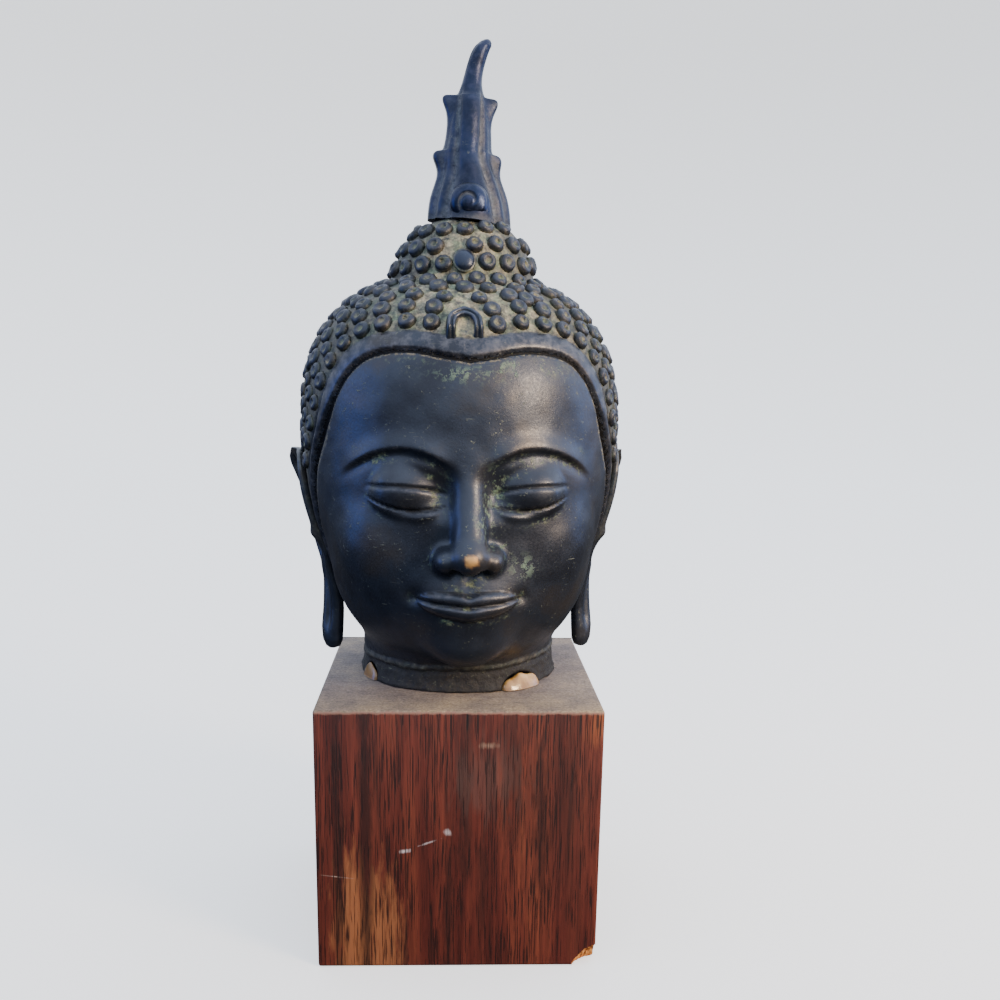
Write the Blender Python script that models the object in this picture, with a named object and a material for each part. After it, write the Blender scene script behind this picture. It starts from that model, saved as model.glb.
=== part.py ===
# Bronze head with a flame finial, glued by its neck to a wooden block.
# Blender 4.5, metres, +Z up. The origin is the middle of the block's underside,
# and the face looks along -Y.
import math

import bmesh
import bpy
import numpy as np
from mathutils import Matrix, Vector
from mathutils.geometry import delaunay_2d_cdt

# Driving dimensions, in metres
BLOCK_WIDTH = 0.100
BLOCK_DEPTH = 0.100
BLOCK_HEIGHT = 0.097
BLOCK_EDGE = 0.0010
BLOCK_BACK_CORNER = 0.0045
CHIP_WIDTH = 0.0086
CHIP_HEIGHT = 0.0080
CHIP_DEPTH = 0.0068
HEAD_HEIGHT = 0.2260
HEAD_SET_BACK = 0.0050
HEAD_TURN = math.radians(2.8)
SEAT_GAP = 0.0003
GLUE_GAP = 0.0003

# The head and finial are drawn on a grid of 226 units from neck to tip, a unit being a millimetre
# on the real head. Every number below is in those units, measured from the foot of the neck's axis.
GRID_HEIGHT = 226.0
UNIT = HEAD_HEIGHT / GRID_HEIGHT
HEAD_FOOT = Vector((0, HEAD_SET_BACK, BLOCK_HEIGHT + SEAT_GAP))

NECK_RADII = (36.6, 35.2)
NECK_FLARE = 1.5
NECK_CREASE_HEIGHT = 7.5
CROWN_CENTRE = (0.3, 0.0, 141.0)
CROWN_RADII = (25.2, 25.2, 26.2)
CROWN_CUT = 3.1
CROWN_LEAN = 0.06
AXIS_Y = 0.0
AXIS_LOW = 34.0
AXIS_HIGH = 100.0
AXIS_REACH = 52.0
BAND_CENTRE = np.array([0.0, -2.0, 80.0])

BAND_HALF_WIDTH = 3.0
BAND_RISE = 1.7
NAPE_HEIGHT = 25.0
CURL_SPACING = 8.0
CURL_RISE = 2.4
CURL_VALLEY = -0.3
ROW_STARTS = (1.23, 0.99, 0.55)

EYE_OUT = 20.3
EYE_HALF = 11.0
LID_HEIGHT = 70.6
BROW_HEIGHT = 88.6
NOSE_BASE = 48.7
LIP_LINE = 37.0
MOUTH_HALF = 17.0

FINIAL_AXIS = (2.7, 0.0)
FINIAL_SEAT_HEIGHT = CROWN_CENTRE[2] + CROWN_RADII[2] - CROWN_CUT
FINIAL_SEAT_SLOPE = math.radians(5.6)
FINIAL_TIER_SLOPE = math.radians(3.6)
LOW_TIER_HEIGHT = 24.7
HIGH_TIER_HEIGHT = 43.1

# Where the neck's rim is broken and glue has squeezed out: angle round the neck, width, height
GLUE_SPOTS = {
    "glue_bead_right": (math.radians(-55), 8.5, 6.0),
    "glue_bead_left": (math.radians(-155), 6.5, 6.5),
}
GLUE_BULGE = 4.2
GLUE_SINK = 0.7
NOTCH_CLEARANCE = GLUE_GAP / UNIT

BRONZE = ("dark_patinated_bronze", (0.035, 0.040, 0.052, 1), 0.42, 0.75)
FINIAL_BRONZE = ("rubbed_dark_bronze", (0.040, 0.040, 0.046, 1), 0.38, 0.80)
WOOD = ("red_brown_hardwood", (0.13, 0.035, 0.018, 1), 0.55, 0.0)
GLUE = ("amber_resin_glue", (0.50, 0.36, 0.17, 1), 0.25, 0.0)


# Scene and materials
def clear_scene():
    for obj in list(bpy.data.objects):
        bpy.data.objects.remove(obj)


def make_collection(name):
    collection = bpy.data.collections.new(name)
    bpy.context.scene.collection.children.link(collection)
    return collection


def make_material(name, colour, roughness, metallic):
    material = bpy.data.materials.new(name)
    material.use_nodes = True
    shader = material.node_tree.nodes["Principled BSDF"]
    shader.inputs["Base Color"].default_value = colour
    shader.inputs["Roughness"].default_value = roughness
    shader.inputs["Metallic"].default_value = metallic
    return material


def add_object(name, bm, collection, material=None, smooth_angle=40):
    """Turns a bmesh into an object whose place is in its mesh."""
    mesh = bpy.data.meshes.new(name)
    bm.to_mesh(mesh)
    bm.free()
    mesh.shade_smooth()
    mesh.set_sharp_from_angle(angle=math.radians(smooth_angle))
    obj = bpy.data.objects.new(name, mesh)
    collection.objects.link(obj)
    if material:
        mesh.materials.append(material)
    return obj


def make_cutter(obj):
    obj.hide_render = True
    obj.display_type = "WIRE"
    return obj


def add_boolean(obj, other, operation):
    modifier = obj.modifiers.new(f"{operation.lower()}_{other.name}", "BOOLEAN")
    modifier.operation = operation
    modifier.object = other
    modifier.solver = "EXACT"
    return modifier


def place_on_grid(bm):
    """Grid units to metres, standing on the block and turned a little to the right."""
    bm.transform(Matrix.Translation(HEAD_FOOT) @ Matrix.Rotation(HEAD_TURN, 4, "Z") @ Matrix.Scale(UNIT, 4))


# Forms that the head is blended from. Each gives the distance outside a form, negative within it.
def ellipsoid(p, centre, radii):
    q = (p - centre) / radii
    near = np.linalg.norm(q, axis=1) + 1e-9
    steep = np.linalg.norm(q / radii, axis=1) + 1e-9
    return near * (near - 1) / steep


def squared_ellipsoid(p, centre, radii, power):
    q = np.abs((p - centre) / radii)
    flat = np.hypot(q[:, 0], q[:, 1])
    k = (flat**power + q[:, 2] ** power) ** (1 / power) + 1e-9
    return (k - 1) * np.linalg.norm(p - centre, axis=1) / k


def tapered_rod(p, start, end, start_radius, end_radius):
    along = np.subtract(end, start)
    t = np.clip((p - start) @ along / (along @ along), 0, 1)
    radius = start_radius + (end_radius - start_radius) * t
    return np.linalg.norm(p - start - t[:, None] * along, axis=1) - radius


def blend(a, b, width):
    """The union of two forms, with a fillet of about that width."""
    h = np.clip(0.5 + 0.5 * (b - a) / width, 0, 1)
    return b + (a - b) * h - width * h * (1 - h)


def carve(a, b, width):
    """Form a with form b taken out of it."""
    return -blend(-a, b, width)


def ramp(low, high, value):
    t = np.clip((value - low) / (high - low), 0, 1)
    return t * t * (3 - 2 * t)


def hump(value, width):
    return np.exp(-((value / width) ** 2))


def dome(value):
    """A half circle over -1 to 1, and nothing outside."""
    return np.sqrt(np.clip(1 - value**2, 0, 1))


def rounded(value, width):
    """A low arch that reaches nothing at that width to either side."""
    t = np.clip(1 - (value / width) ** 2, 0, 1)
    return t * (2 - t) ** 0.5


def smooth_line(knots, values, count=160):
    """Samples a natural cubic through a few knots: returns positions, values and slopes."""
    knots, values = np.asarray(knots, float), np.asarray(values, float)
    n, h = len(knots), np.diff(knots)
    rows, sums = np.eye(n), np.zeros(n)
    for i in range(1, n - 1):
        rows[i, i - 1 : i + 2] = h[i - 1], 2 * (h[i - 1] + h[i]), h[i]
        sums[i] = 3 * ((values[i + 1] - values[i]) / h[i] - (values[i] - values[i - 1]) / h[i - 1])
    c = np.linalg.solve(rows, sums)
    at = np.linspace(knots[0], knots[-1], count)
    i = np.clip(np.searchsorted(knots, at) - 1, 0, n - 2)
    slope = (values[i + 1] - values[i]) / h[i] - h[i] * (2 * c[i] + c[i + 1]) / 3
    s = at - knots[i]
    line = values[i] + slope * s + c[i] * s**2 + (c[i + 1] - c[i]) / (3 * h[i]) * s**3
    return at, line, np.gradient(line, at)


# The hair band is a line drawn round the face: how far it lies from straight ahead, in degrees,
# by the turn round that axis, which is 0 at the top of the forehead and 142 under the ear.
BAND_TURN, BAND_AWAY, BAND_SLOPE = smooth_line(
    (0, 10, 20, 30, 40, 50, 64, 76, 90, 112, 128, 142),
    (39.1, 40.9, 44.8, 49.7, 55.0, 58.7, 62.3, 66.4, 74.0, 82.5, 87.5, 90.0),
)


def band_distance(p):
    """Distance over the surface from the hair band's middle, positive on the hair's side, and the turn."""
    d = p - BAND_CENTRE
    reach = np.linalg.norm(d, axis=1) + 1e-9
    away = np.degrees(np.arccos(np.clip(-d[:, 1] / reach, -1, 1)))
    turn = 90 - np.degrees(np.arctan2(d[:, 2], np.abs(d[:, 0])))
    line = np.interp(turn, BAND_TURN, BAND_AWAY)
    slope = np.interp(turn, BAND_TURN, BAND_SLOPE) / np.sin(np.radians(np.clip(away, 20, 160)))
    return np.radians(away - line) * reach / np.sqrt(1 + slope**2), turn


def band_relief(p):
    """The raised band with a fine groove on its inner side, and the scalp's step up beyond it."""
    across, turn = band_distance(p)
    fade = ramp(146, 134, turn)
    roll = BAND_RISE * dome(across / BAND_HALF_WIDTH)
    groove = -0.7 * hump(across + BAND_HALF_WIDTH + 0.6, 0.9)
    scalp = 0.8 * ramp(BAND_HALF_WIDTH - 0.6, BAND_HALF_WIDTH + 0.6, across)
    nape = ramp(NAPE_HEIGHT - 4, NAPE_HEIGHT + 2, p[:, 2])
    return (roll + groove) * fade + scalp * nape


def lid_line(out):
    """Height of the closed upper lid's edge at a distance out from the nose, and the share across it."""
    u = (out - EYE_OUT) / EYE_HALF
    return LID_HEIGHT - 1.9 * (1 - u**2) + 0.9 * u, u


def brow_relief(out, z):
    s = (out - 22.0) / 17.5
    up = z - (BROW_HEIGHT - 6.4 * s**2)
    ridge = 1.4 * np.where(up < 0, hump(up, 1.4), hump(up, 4.2))
    return (ridge - 0.5 * hump(up + 3.2, 2.2)) * ramp(44, 36, out) * ramp(1, 10, out)


def lid_relief(out, z):
    edge, u = lid_line(out)
    crease = -0.7 * hump(z - edge - 7.2 + 3.0 * u**2, 0.8)
    pouch = 0.45 * hump(z - edge + 3.0 - 1.5 * u**2, 1.3)
    slit = -0.55 * hump(z - edge + 0.55, 0.45)
    return (crease + pouch + slit) * ramp(1.3, 0.95, np.abs(u))


def lip_relief(out, z):
    m = out / MOUTH_HALF
    v = z - (LIP_LINE + 1.3 * m**2 - 0.5 * hump(out, 3.0))
    reach = np.clip(1 - m**2, 0, 1) ** 0.6
    over = 0.6 + 4.2 * reach - 0.7 * hump(out, 2.0)
    under = 0.6 + 4.8 * reach
    upper = 1.9 * rounded(v / over - 0.42, 0.58) * (v > 0)
    lower = 2.2 * rounded(v / under + 0.45, 0.55) * (v <= 0)
    parting = -0.9 * hump(v, 0.7) * ramp(1.15, 0.8, m)
    corner = -1.3 * hump(np.hypot(out - MOUTH_HALF - 1, z - LIP_LINE - 1.6), 2.8)
    philtrum = -0.6 * hump(out, 1.7) * ramp(41.5, 44, z) * ramp(50, 47, z)
    return (upper + lower) * reach + parting + corner + philtrum


def skull_form(q):
    d = squared_ellipsoid(q, (0, 3, 90), (57.2, 58, 55.3), 2.7)
    d = blend(d, ellipsoid(q, (0, -8, 60), (49.5, 47, 60)), 8)
    d = blend(d, ellipsoid(q, (0, -13, 41), (43, 40, 31)), 9)
    d = blend(d, ellipsoid(q, (0, -43.5, 22.5), (13, 10, 10)), 7)
    d = blend(d, ellipsoid(q, (0, -41, 38), (19, 15.5, 13)), 7)
    return blend(d, ellipsoid(q, (27, -32, 55), (14, 14, 14)), 10)


def neck_form(p):
    width, depth = NECK_RADII
    ring = np.hypot(p[:, 0] / width, p[:, 1] / depth) * (width + depth) / 2
    flare = NECK_FLARE * np.exp(-np.abs(p[:, 2]) / 2.5)
    crease = -0.8 * hump(p[:, 2] - NECK_CREASE_HEIGHT, 0.9)
    return np.maximum(ring - (width + depth) / 2 - flare - crease, p[:, 2] - 40)


def nose_form(q):
    d = tapered_rod(q, (0, -46.0, 90), (0, -59.8, 54.0), 3.6, 5.8)
    d = blend(d, ellipsoid(q, (0, -60.8, 53.4), (5.8, 5.8, 5.2)), 3)
    d = blend(d, ellipsoid(q, (0, -48.0, 84.5), (5.2, 5.6, 10.0)), 3)
    return blend(d, ellipsoid(q, (7.4, -56.5, NOSE_BASE + 3.5), (4.2, 6.5, 4.3)), 2.2)


def head_form(p):
    """Distance outside the head without its ears, curls and finial."""
    q = np.column_stack([np.abs(p[:, 0]), p[:, 1], p[:, 2]])
    out, z = q[:, 0], q[:, 2]
    d = skull_form(q)
    leaned = p - np.outer(CROWN_LEAN * np.clip(z - CROWN_CENTRE[2], 0, None), [1, 0, 0])
    d = blend(d, ellipsoid(leaned, CROWN_CENTRE, CROWN_RADII), 4)
    d = blend(d, neck_form(p), 5)
    d = carve(d, ellipsoid(q, (19.5, -61.5, 76.5), (15.5, 9.5, 9.5)), 5)
    d = carve(d, ellipsoid(q, (9, -61, 74), (5.5, 9, 8)), 5)
    d = blend(d, nose_form(q), 3)
    d = carve(d, ellipsoid(q, (4.3, -60, NOSE_BASE - 1.1), (2.3, 3.8, 2.6)), 1.2)
    edge, u = lid_line(out)
    lid = 1.15 * ramp(-0.35, 0.35, z - edge) * ramp(1.12, 0.92, np.abs(u))
    d = blend(d, ellipsoid(q, (EYE_OUT, -41.2, 73.5), (13, 12.2, 11.5)) - lid, 1.6)
    front = ramp(-25, -37, p[:, 1])
    return d - front * (brow_relief(out, z) + lid_relief(out, z) + lip_relief(out, z)) - band_relief(p)


def walk_in(starts, directions):
    """Walks from outside the head back along rays to its surface."""
    reach = np.full(len(starts), 130.0)
    live = np.arange(len(starts))
    for _ in range(80):
        d = head_form(starts[live] + directions[live] * reach[live, None])
        reach[live] -= 0.8 * d
        live = live[np.abs(d) > 0.01]
        if not len(live):
            break
    return starts + directions * reach[:, None]


# Places on the head are given by the way down it and the turn from straight ahead. The way down is an
# angle over the top of an upright axis, then a length beside it, then an angle under its lower end.
AXIS_SPAN = (AXIS_HIGH - AXIS_LOW) / AXIS_REACH
LOWEST = math.pi + AXIS_SPAN


def surface_points(down, turn):
    beside = np.clip(down - math.pi / 2, 0, AXIS_SPAN)
    tilt = down - beside
    turn = turn * np.ones_like(down)
    starts = np.column_stack([0 * beside, AXIS_Y + 0 * beside, AXIS_HIGH - AXIS_REACH * beside])
    flat = np.sin(tilt)
    return walk_in(starts, np.column_stack([flat * np.sin(turn), -flat * np.cos(turn), np.cos(tilt)]))


def front_points(x, z):
    """Points of the face at given places seen from straight ahead."""
    starts = np.column_stack([x, 0 * x + AXIS_Y, z])
    return walk_in(starts, np.tile([0.0, -1.0, 0.0], (len(x), 1)))


def down_and_turn(points):
    x, y = points[:, 0], points[:, 1] - AXIS_Y
    level = np.clip(points[:, 2], AXIS_LOW, AXIS_HIGH)
    down = np.arctan2(np.hypot(x, y), points[:, 2] - level) + (AXIS_HIGH - level) / AXIS_REACH
    return down, np.arctan2(x, -y)


def settle(points):
    """Slides points near the surface onto it by the shortest way."""
    step = 0.05
    for _ in range(4):
        d = head_form(points)
        slope = np.column_stack([head_form(points + step * axis) - d for axis in np.eye(3)]) / step
        points = points - 0.9 * d[:, None] * slope / (np.sum(slope**2, axis=1) + 1e-9)[:, None]
    return points


# Places of the curls
def band_row(offset, spacing, start, middle=0.0):
    """Points beside the hair band's middle at an offset, evenly spaced both ways from a middle."""
    turns = np.linspace(0, 138, 400)
    away = np.interp(turns, BAND_TURN, BAND_AWAY)
    for _ in range(5):
        a, around = np.radians(away), np.radians(90 - turns)
        rays = np.column_stack([np.sin(a) * np.cos(around), -np.cos(a), np.sin(a) * np.sin(around)])
        points = walk_in(np.tile(BAND_CENTRE, (400, 1)), rays)
        if not _:
            steps = np.linalg.norm(np.diff(points, axis=0), axis=1)
        away = away + np.degrees((offset - band_distance(points)[0]) / 62)
    length = np.concatenate([[0], np.cumsum(steps)])
    sides = []
    for way in (-1, 1):
        at = np.arange(start * spacing + way * middle, length[-1], spacing)
        side = np.column_stack([np.interp(at, length, points[:, i]) for i in range(3)])
        sides.append(side * [way, 1, 1])
    left = sides[0][sides[0][:, 0] < -0.1]
    return np.vstack([left[::-1], sides[1]])


def mirror_line(half):
    """A line on both sides of the face, running from the left end to the right."""
    return np.vstack([(half[half[:, 0] > 0.1] * [-1, 1, 1])[::-1], half])


def side_profile(count=400):
    """Length over the surface from the crown's top to the neck's foot, by the way down."""
    down = np.linspace(0.002, LOWEST - 0.7, count)
    points = surface_points(down, np.full(count, math.pi / 2))
    steps = np.linalg.norm(np.diff(points, axis=0), axis=1)
    return down, np.concatenate([[0], np.cumsum(steps)]), points


def ring_rows(spacing):
    """Rings of points from below the finial's seat down to the nape, each a row of curls."""
    down, length, profile = side_profile()
    first = length[profile[:, 2] < FINIAL_SEAT_HEIGHT - 2.6][0]
    last = length[profile[:, 2] < NAPE_HEIGHT][0]
    rows = []
    for k, at in enumerate(np.arange(first, last, spacing * 0.87)):
        around = np.interp(at, length, np.hypot(profile[:, 0], profile[:, 1] - AXIS_Y))
        count = max(3, round(2 * math.pi * around / spacing))
        turn = (np.arange(count) + 0.5 * (k % 2)) * 2 * math.pi / count
        rows.append(surface_points(np.full(count, np.interp(at, length, down)), turn))
    return np.vstack(rows)


def in_hair(points, margin):
    seat = FINIAL_SEAT_HEIGHT - math.tan(FINIAL_SEAT_SLOPE) * (points[:, 0] - FINIAL_AXIS[0])
    return (
        (band_distance(points)[0] > BAND_HALF_WIDTH + margin)
        & (points[:, 2] > NAPE_HEIGHT + 3)
        & (points[:, 2] < seat - 1.0)
        & ~behind_ear(points)
        & ~at_ornament(points)
    )


def behind_ear(points):
    """Where the ear covers the scalp."""
    y, z = points[:, 1], points[:, 2]
    return (np.abs(points[:, 0]) > 30) & (y > -10) & (y < 12) & (z < 84) & (z > 10)


def clearings():
    """The ovals round the niche and the boss that hold no curls: middle, half width and half height."""
    clear = 0.4 * CURL_SPACING
    half = NICHE_HEIGHT / 2
    niche = (NICHE_X, NICHE_FOOT + half, NICHE_HALF_WIDTH + clear, half + clear)
    return niche, (BOSS_X, BOSS_HEIGHT, BOSS_RADII[0] + 0.7 * clear, BOSS_RADII[1] + 0.6 * clear)


def at_ornament(points):
    """Where the niche and the crown's boss take the place of curls."""
    x, y, z = points.T
    ovals = [np.hypot((x - x0) / width, (z - z0) / height) < 1 for x0, z0, width, height in clearings()]
    return (y < -15) & (ovals[0] | ovals[1])


def clearing_places():
    """Points on the bare scalp round the niche and the boss."""
    turn = np.arange(0, 12) * math.pi / 6
    rings = []
    for x0, z0, width, height in clearings():
        for share in (0.25, 0.85):
            rings.append(front_points(x0 + share * width * np.cos(turn), z0 + share * height * np.sin(turn)))
    return np.vstack(rings)


def ease_apart(free, fixed, rounds):
    """Presses free points aside until they and the fixed ones keep the curls' spacing."""
    for _ in range(rounds):
        apart = free[:, None] - np.vstack([fixed, free])[None]
        gap = np.linalg.norm(apart, axis=2) + 1e-6
        push = np.clip(CURL_SPACING * 0.98 - gap, 0, None) * (gap > 1e-3) / gap
        free = settle(free + 0.3 * (apart * push[:, :, None]).sum(axis=1))
        free = free[in_hair(free, 0.4 * CURL_SPACING)]
    return free


def fill_gaps(free, fixed):
    """Adds a point wherever there is room for one more curl."""
    spare = ring_rows(0.4 * CURL_SPACING)
    for p in spare[in_hair(spare, 0.4 * CURL_SPACING)]:
        if np.linalg.norm(np.vstack([fixed, free]) - p, axis=1).min() > 0.84 * CURL_SPACING:
            free = np.vstack([free, p])
    return free


def curl_places():
    """Curl centres on the scalp: three rows along the band, rings above them, eased apart to one spacing."""
    rows = []
    for row, start in enumerate(ROW_STARTS):
        offset = BAND_HALF_WIDTH + (0.45 + 0.84 * row) * CURL_SPACING
        rows.append(band_row(offset, 0.96 * CURL_SPACING, start, NICHE_X))
    first = np.vstack(rows)
    first = first[in_hair(first, 0)]
    free = ring_rows(CURL_SPACING)
    free = free[in_hair(free, 0.45 * CURL_SPACING)]
    clear = np.linalg.norm(free[:, None] - first[None], axis=2).min(axis=1) > 0.55 * CURL_SPACING
    free = ease_apart(free[clear], first, 12)
    free = ease_apart(fill_gaps(free, first), first, 8)
    everything = np.vstack([first, free])
    gap = np.linalg.norm(everything[:, None] - everything[None], axis=2)
    crowded = (gap < 0.62 * CURL_SPACING) & (np.arange(len(gap))[:, None] > np.arange(len(gap))[None])
    return everything[~crowded.any(axis=1)]


# The head's mesh
def flatten(points):
    """Spreads the head's skin over a plane without changing its shapes, the crown's top in the middle."""
    down, turn = down_and_turn(points)
    table, length, profile = side_profile()
    around = np.hypot(profile[:, 0], profile[:, 1] - AXIS_Y)
    reach = np.cumsum(np.gradient(length) / around)
    size = np.exp(np.interp(down, table, reach - reach[len(reach) // 2]))
    return np.column_stack([size * np.sin(turn), -size * np.cos(turn)])


def skin(points, lines=()):
    """Joins points to their nearest neighbours, keeping the given lines as edges. Returns triangles."""
    edges = [(a, b) for line in lines for a, b in zip(line, line[1:])]
    flat = [Vector(p) for p in flatten(points)]
    _, _, faces, source, _, _ = delaunay_2d_cdt(flat, edges, [], 0, 1e-9)
    return [[source[i][0] for i in face] for face in faces]


def valley_places(curls):
    """Points midway between each three neighbouring curls."""
    found = []
    for face in skin(curls):
        corners = curls[face]
        if max(np.linalg.norm(corners[i] - corners[i - 1]) for i in range(3)) < 1.9 * CURL_SPACING:
            found.append(corners.mean(axis=0))
    return settle(np.array(found))


def face_lines():
    """Points along the lines of the carving: brows, lids, lips and the ridge of the nose."""
    lines = []
    out = np.arange(9, 41, 2.9)
    for up in (3.6, 0.2, -2.2):
        lines.append((out, BROW_HEIGHT - 6.4 * ((out - 22.0) / 17.5) ** 2 + up))
    out = EYE_OUT + EYE_HALF * np.linspace(-1, 1, 10)
    edge, u = lid_line(out)
    lines += [(out, edge + 0.5), (out, edge - 0.7), (out[1:-1], (edge + 7.2 - 3.0 * u**2)[1:-1])]
    out = np.arange(0, MOUTH_HALF + 1, 2.2)
    reach = np.clip(1 - (out / MOUTH_HALF) ** 2, 0, 1) ** 0.6
    middle = LIP_LINE + 1.3 * (out / MOUTH_HALF) ** 2 - 0.5 * hump(out, 3.0)
    for share in (1.0, 0.75, 0.45, 0.2):
        lines.append((out, middle + share * (0.6 + 4.2 * reach)))
        lines.append((out, middle - share * (0.6 + 4.8 * reach)))
    lines.append((out, middle))
    height = np.arange(50, 84, 4.0)
    lines += [(0 * height, height), (0 * height + 5.4, height)]
    both = []
    for x, z in lines:
        half = front_points(x, z)
        both += [mirror_line(half)] if x[0] == 0 and x[-1] > 0 else [half]
        if x[0] > 0:
            both.append(half * [-1, 1, 1])
    return both


def face_places(lines):
    """Points over the face and jaw, closer together where the form turns more sharply."""
    step = 0.018
    turn, down = np.meshgrid(np.arange(0, 1.9, step), np.arange(math.pi / 2 - 0.5, LOWEST - 0.75, step))
    points = surface_points(down.ravel(), turn.ravel())
    depth = np.linalg.norm(points - [0, AXIS_Y, 0], axis=1).reshape(turn.shape)
    padded = np.pad(depth, 2, mode="reflect", reflect_type="odd")
    around = padded[4:, 2:-2] + padded[:-4, 2:-2] + padded[2:-2, 4:] + padded[2:-2, :-4]
    bend = np.abs(depth - around / 4).ravel()
    spacing = np.clip(1.1 / np.sqrt(bend + 0.02), 2.1, 7.0)
    keep = (band_distance(points)[0] < -BAND_HALF_WIDTH - 5.6) & (points[:, 2] > 13)
    points, spacing = points[keep], spacing[keep]
    chosen = list(lines)
    for i in np.argsort(spacing, kind="stable"):
        p = points[i] * [points[i, 0] > spacing[i] * 0.45, 1, 1]
        if np.linalg.norm(np.array(chosen) - p, axis=1).min() > 0.9 * spacing[i]:
            chosen.append(p)
    return mirror_line(np.array(chosen[len(lines) :]))


def neck_places():
    """Rings round the neck, the lowest of them its foot."""
    rings = []
    for k, z in enumerate((0.0, 4.0, NECK_CREASE_HEIGHT, 11.0, 17.0, NAPE_HEIGHT - 2)):
        count = 30 if z < 12 else 36
        turn = (np.arange(count) + 0.5 * (k % 2)) * 2 * math.pi / count
        ring = np.column_stack(
            [NECK_RADII[0] * np.sin(turn), -NECK_RADII[1] * np.cos(turn), np.full(count, z)]
        )
        if z > 12:
            ring = ring[ring[:, 1] > -6]
        if z:
            ring = settle(ring) * [1, 1, 0] + [0, 0, z]
        else:
            ring[:, :2] *= 1 + NECK_FLARE / NECK_RADII[0]
        rings.append(ring)
    return np.vstack(rings)


def side_places():
    """A few points on the strip that the ears cover."""
    height, y = np.meshgrid(np.arange(16, 82, 8.0), np.arange(-5, 10, 7.0))
    x = np.full(height.size, 50.0)
    points = settle(np.column_stack([x, y.ravel(), height.ravel()]))
    points = points[(band_distance(points)[0] > BAND_HALF_WIDTH + 2)]
    return np.vstack([points, points * [-1, 1, 1]])


def thin_out(points, kept, least):
    """The points that are further than least from every kept one."""
    gap = np.linalg.norm(points[:, None] - kept[None], axis=2).min(axis=1)
    return points[gap > least]


def head_mesh():
    curls = curl_places()
    lines = [band_row(offset, 5.6, 0.0) for offset in (-6.0, -3.7, -2.4, 0.0, 2.4)]
    lines.append(band_row(BAND_HALF_WIDTH + 0.3, 5.6, 0.5))
    lines += face_lines()
    plain = np.vstack([*lines, neck_places()])
    plain = np.vstack([plain, thin_out(clearing_places(), plain, 1.6)])
    plain = np.vstack([plain, thin_out(valley_places(curls), plain, 2.2)])
    for extra, least in ((face_places(np.vstack(lines)), 1.6), (side_places(), 4.5)):
        plain = np.vstack([plain, thin_out(extra, np.vstack([plain, curls]), least)])
    everything = np.vstack([plain, curls, [[0.01, AXIS_Y, CROWN_CENTRE[2] + CROWN_RADII[2]]]])
    outward = everything - [0, AXIS_Y, 80]
    outward /= np.linalg.norm(outward, axis=1)[:, None]
    rise = np.zeros(len(everything))
    rise[: len(plain)][in_hair(plain, 1.0)] = CURL_VALLEY
    rise[len(plain) : -1] = CURL_RISE
    ends = np.cumsum([0] + [len(line) for line in lines])
    runs = [range(a, b) for a, b in zip(ends, ends[1:])]
    bm = bmesh.new()
    verts = [bm.verts.new(p) for p in everything + outward * rise[:, None]]
    for face in skin(everything, runs):
        bm.faces.new([verts[i] for i in face])
    bmesh.ops.contextual_create(bm, geom=[e for e in bm.edges if e.is_boundary])
    bmesh.ops.recalc_face_normals(bm, faces=bm.faces)
    return bm


# Solids on the head, in grid units
def loft(rings):
    """A closed skin through rings of points that all have the same count."""
    bm = bmesh.new()
    loops = [[bm.verts.new(p) for p in ring] for ring in rings]
    for low, high in zip(loops, loops[1:]):
        for i, (a, b) in enumerate(zip(low, high)):
            bm.faces.new((low[i - 1], a, b, high[i - 1]))
    bm.faces.new(loops[0])
    bm.faces.new(loops[-1])
    bmesh.ops.recalc_face_normals(bm, faces=bm.faces)
    return bm


# Up the ear from the lobe: height, the outer edge's distance out, width, thickness, turn outward
EAR_LINE = (
    (7.0, 50.8, 2.6, 2.4, 45),
    (7.9, 52.7, 6.2, 4.6, 45),
    (10.4, 54.2, 9.0, 5.8, 45),
    (15.0, 54.7, 10.0, 6.2, 44),
    (23.0, 54.0, 10.5, 5.8, 38),
    (34.0, 53.6, 12.5, 5.8, 18),
    (46.0, 55.4, 15.5, 6.0, 11),
    (57.0, 57.4, 19.0, 6.2, 12),
    (69.0, 61.2, 22.0, 6.4, 17),
    (77.0, 64.8, 23.0, 6.0, 24),
    (81.0, 66.2, 21.0, 5.4, 28),
    (83.4, 65.0, 15.0, 4.4, 28),
)
EAR_BACK = 3.5
EAR_LEAN = 0.06
# Round the ear: place across its width, and place through its thickness
EAR_FRONT_FACE = ((-1.0, 0.0), (-0.86, 0.42), (-0.62, 0.34), (-0.25, -0.12), (0.2, 0.1), (0.55, -0.05))
EAR_RIM = ((0.84, 0.5), (1.0, 0.2), (0.96, -0.3))
EAR_BACK_FACE = ((0.6, -0.5), (0.1, -0.5), (-0.6, -0.5))


def ear_ring(height, outer, width, thick, turn):
    hollow = ramp(36, 50, height) * ramp(84, 76, height)
    turn = math.radians(turn)
    across = Vector((math.sin(turn), math.cos(turn), 0))
    through = Vector((math.cos(turn), -math.sin(turn), 0))
    reach = width / 2 * math.sin(turn) + thick / 2 * math.cos(turn)
    centre = Vector((outer - reach, EAR_BACK + EAR_LEAN * (height - 45), height))
    ring = []
    for a, t in EAR_FRONT_FACE + EAR_RIM + EAR_BACK_FACE:
        if (a, t) in EAR_FRONT_FACE:
            t = hollow * t + (1 - hollow) * float(0.5 * dome(a))
        ring.append(centre + across * a * width / 2 + through * t * thick)
    return ring


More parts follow.
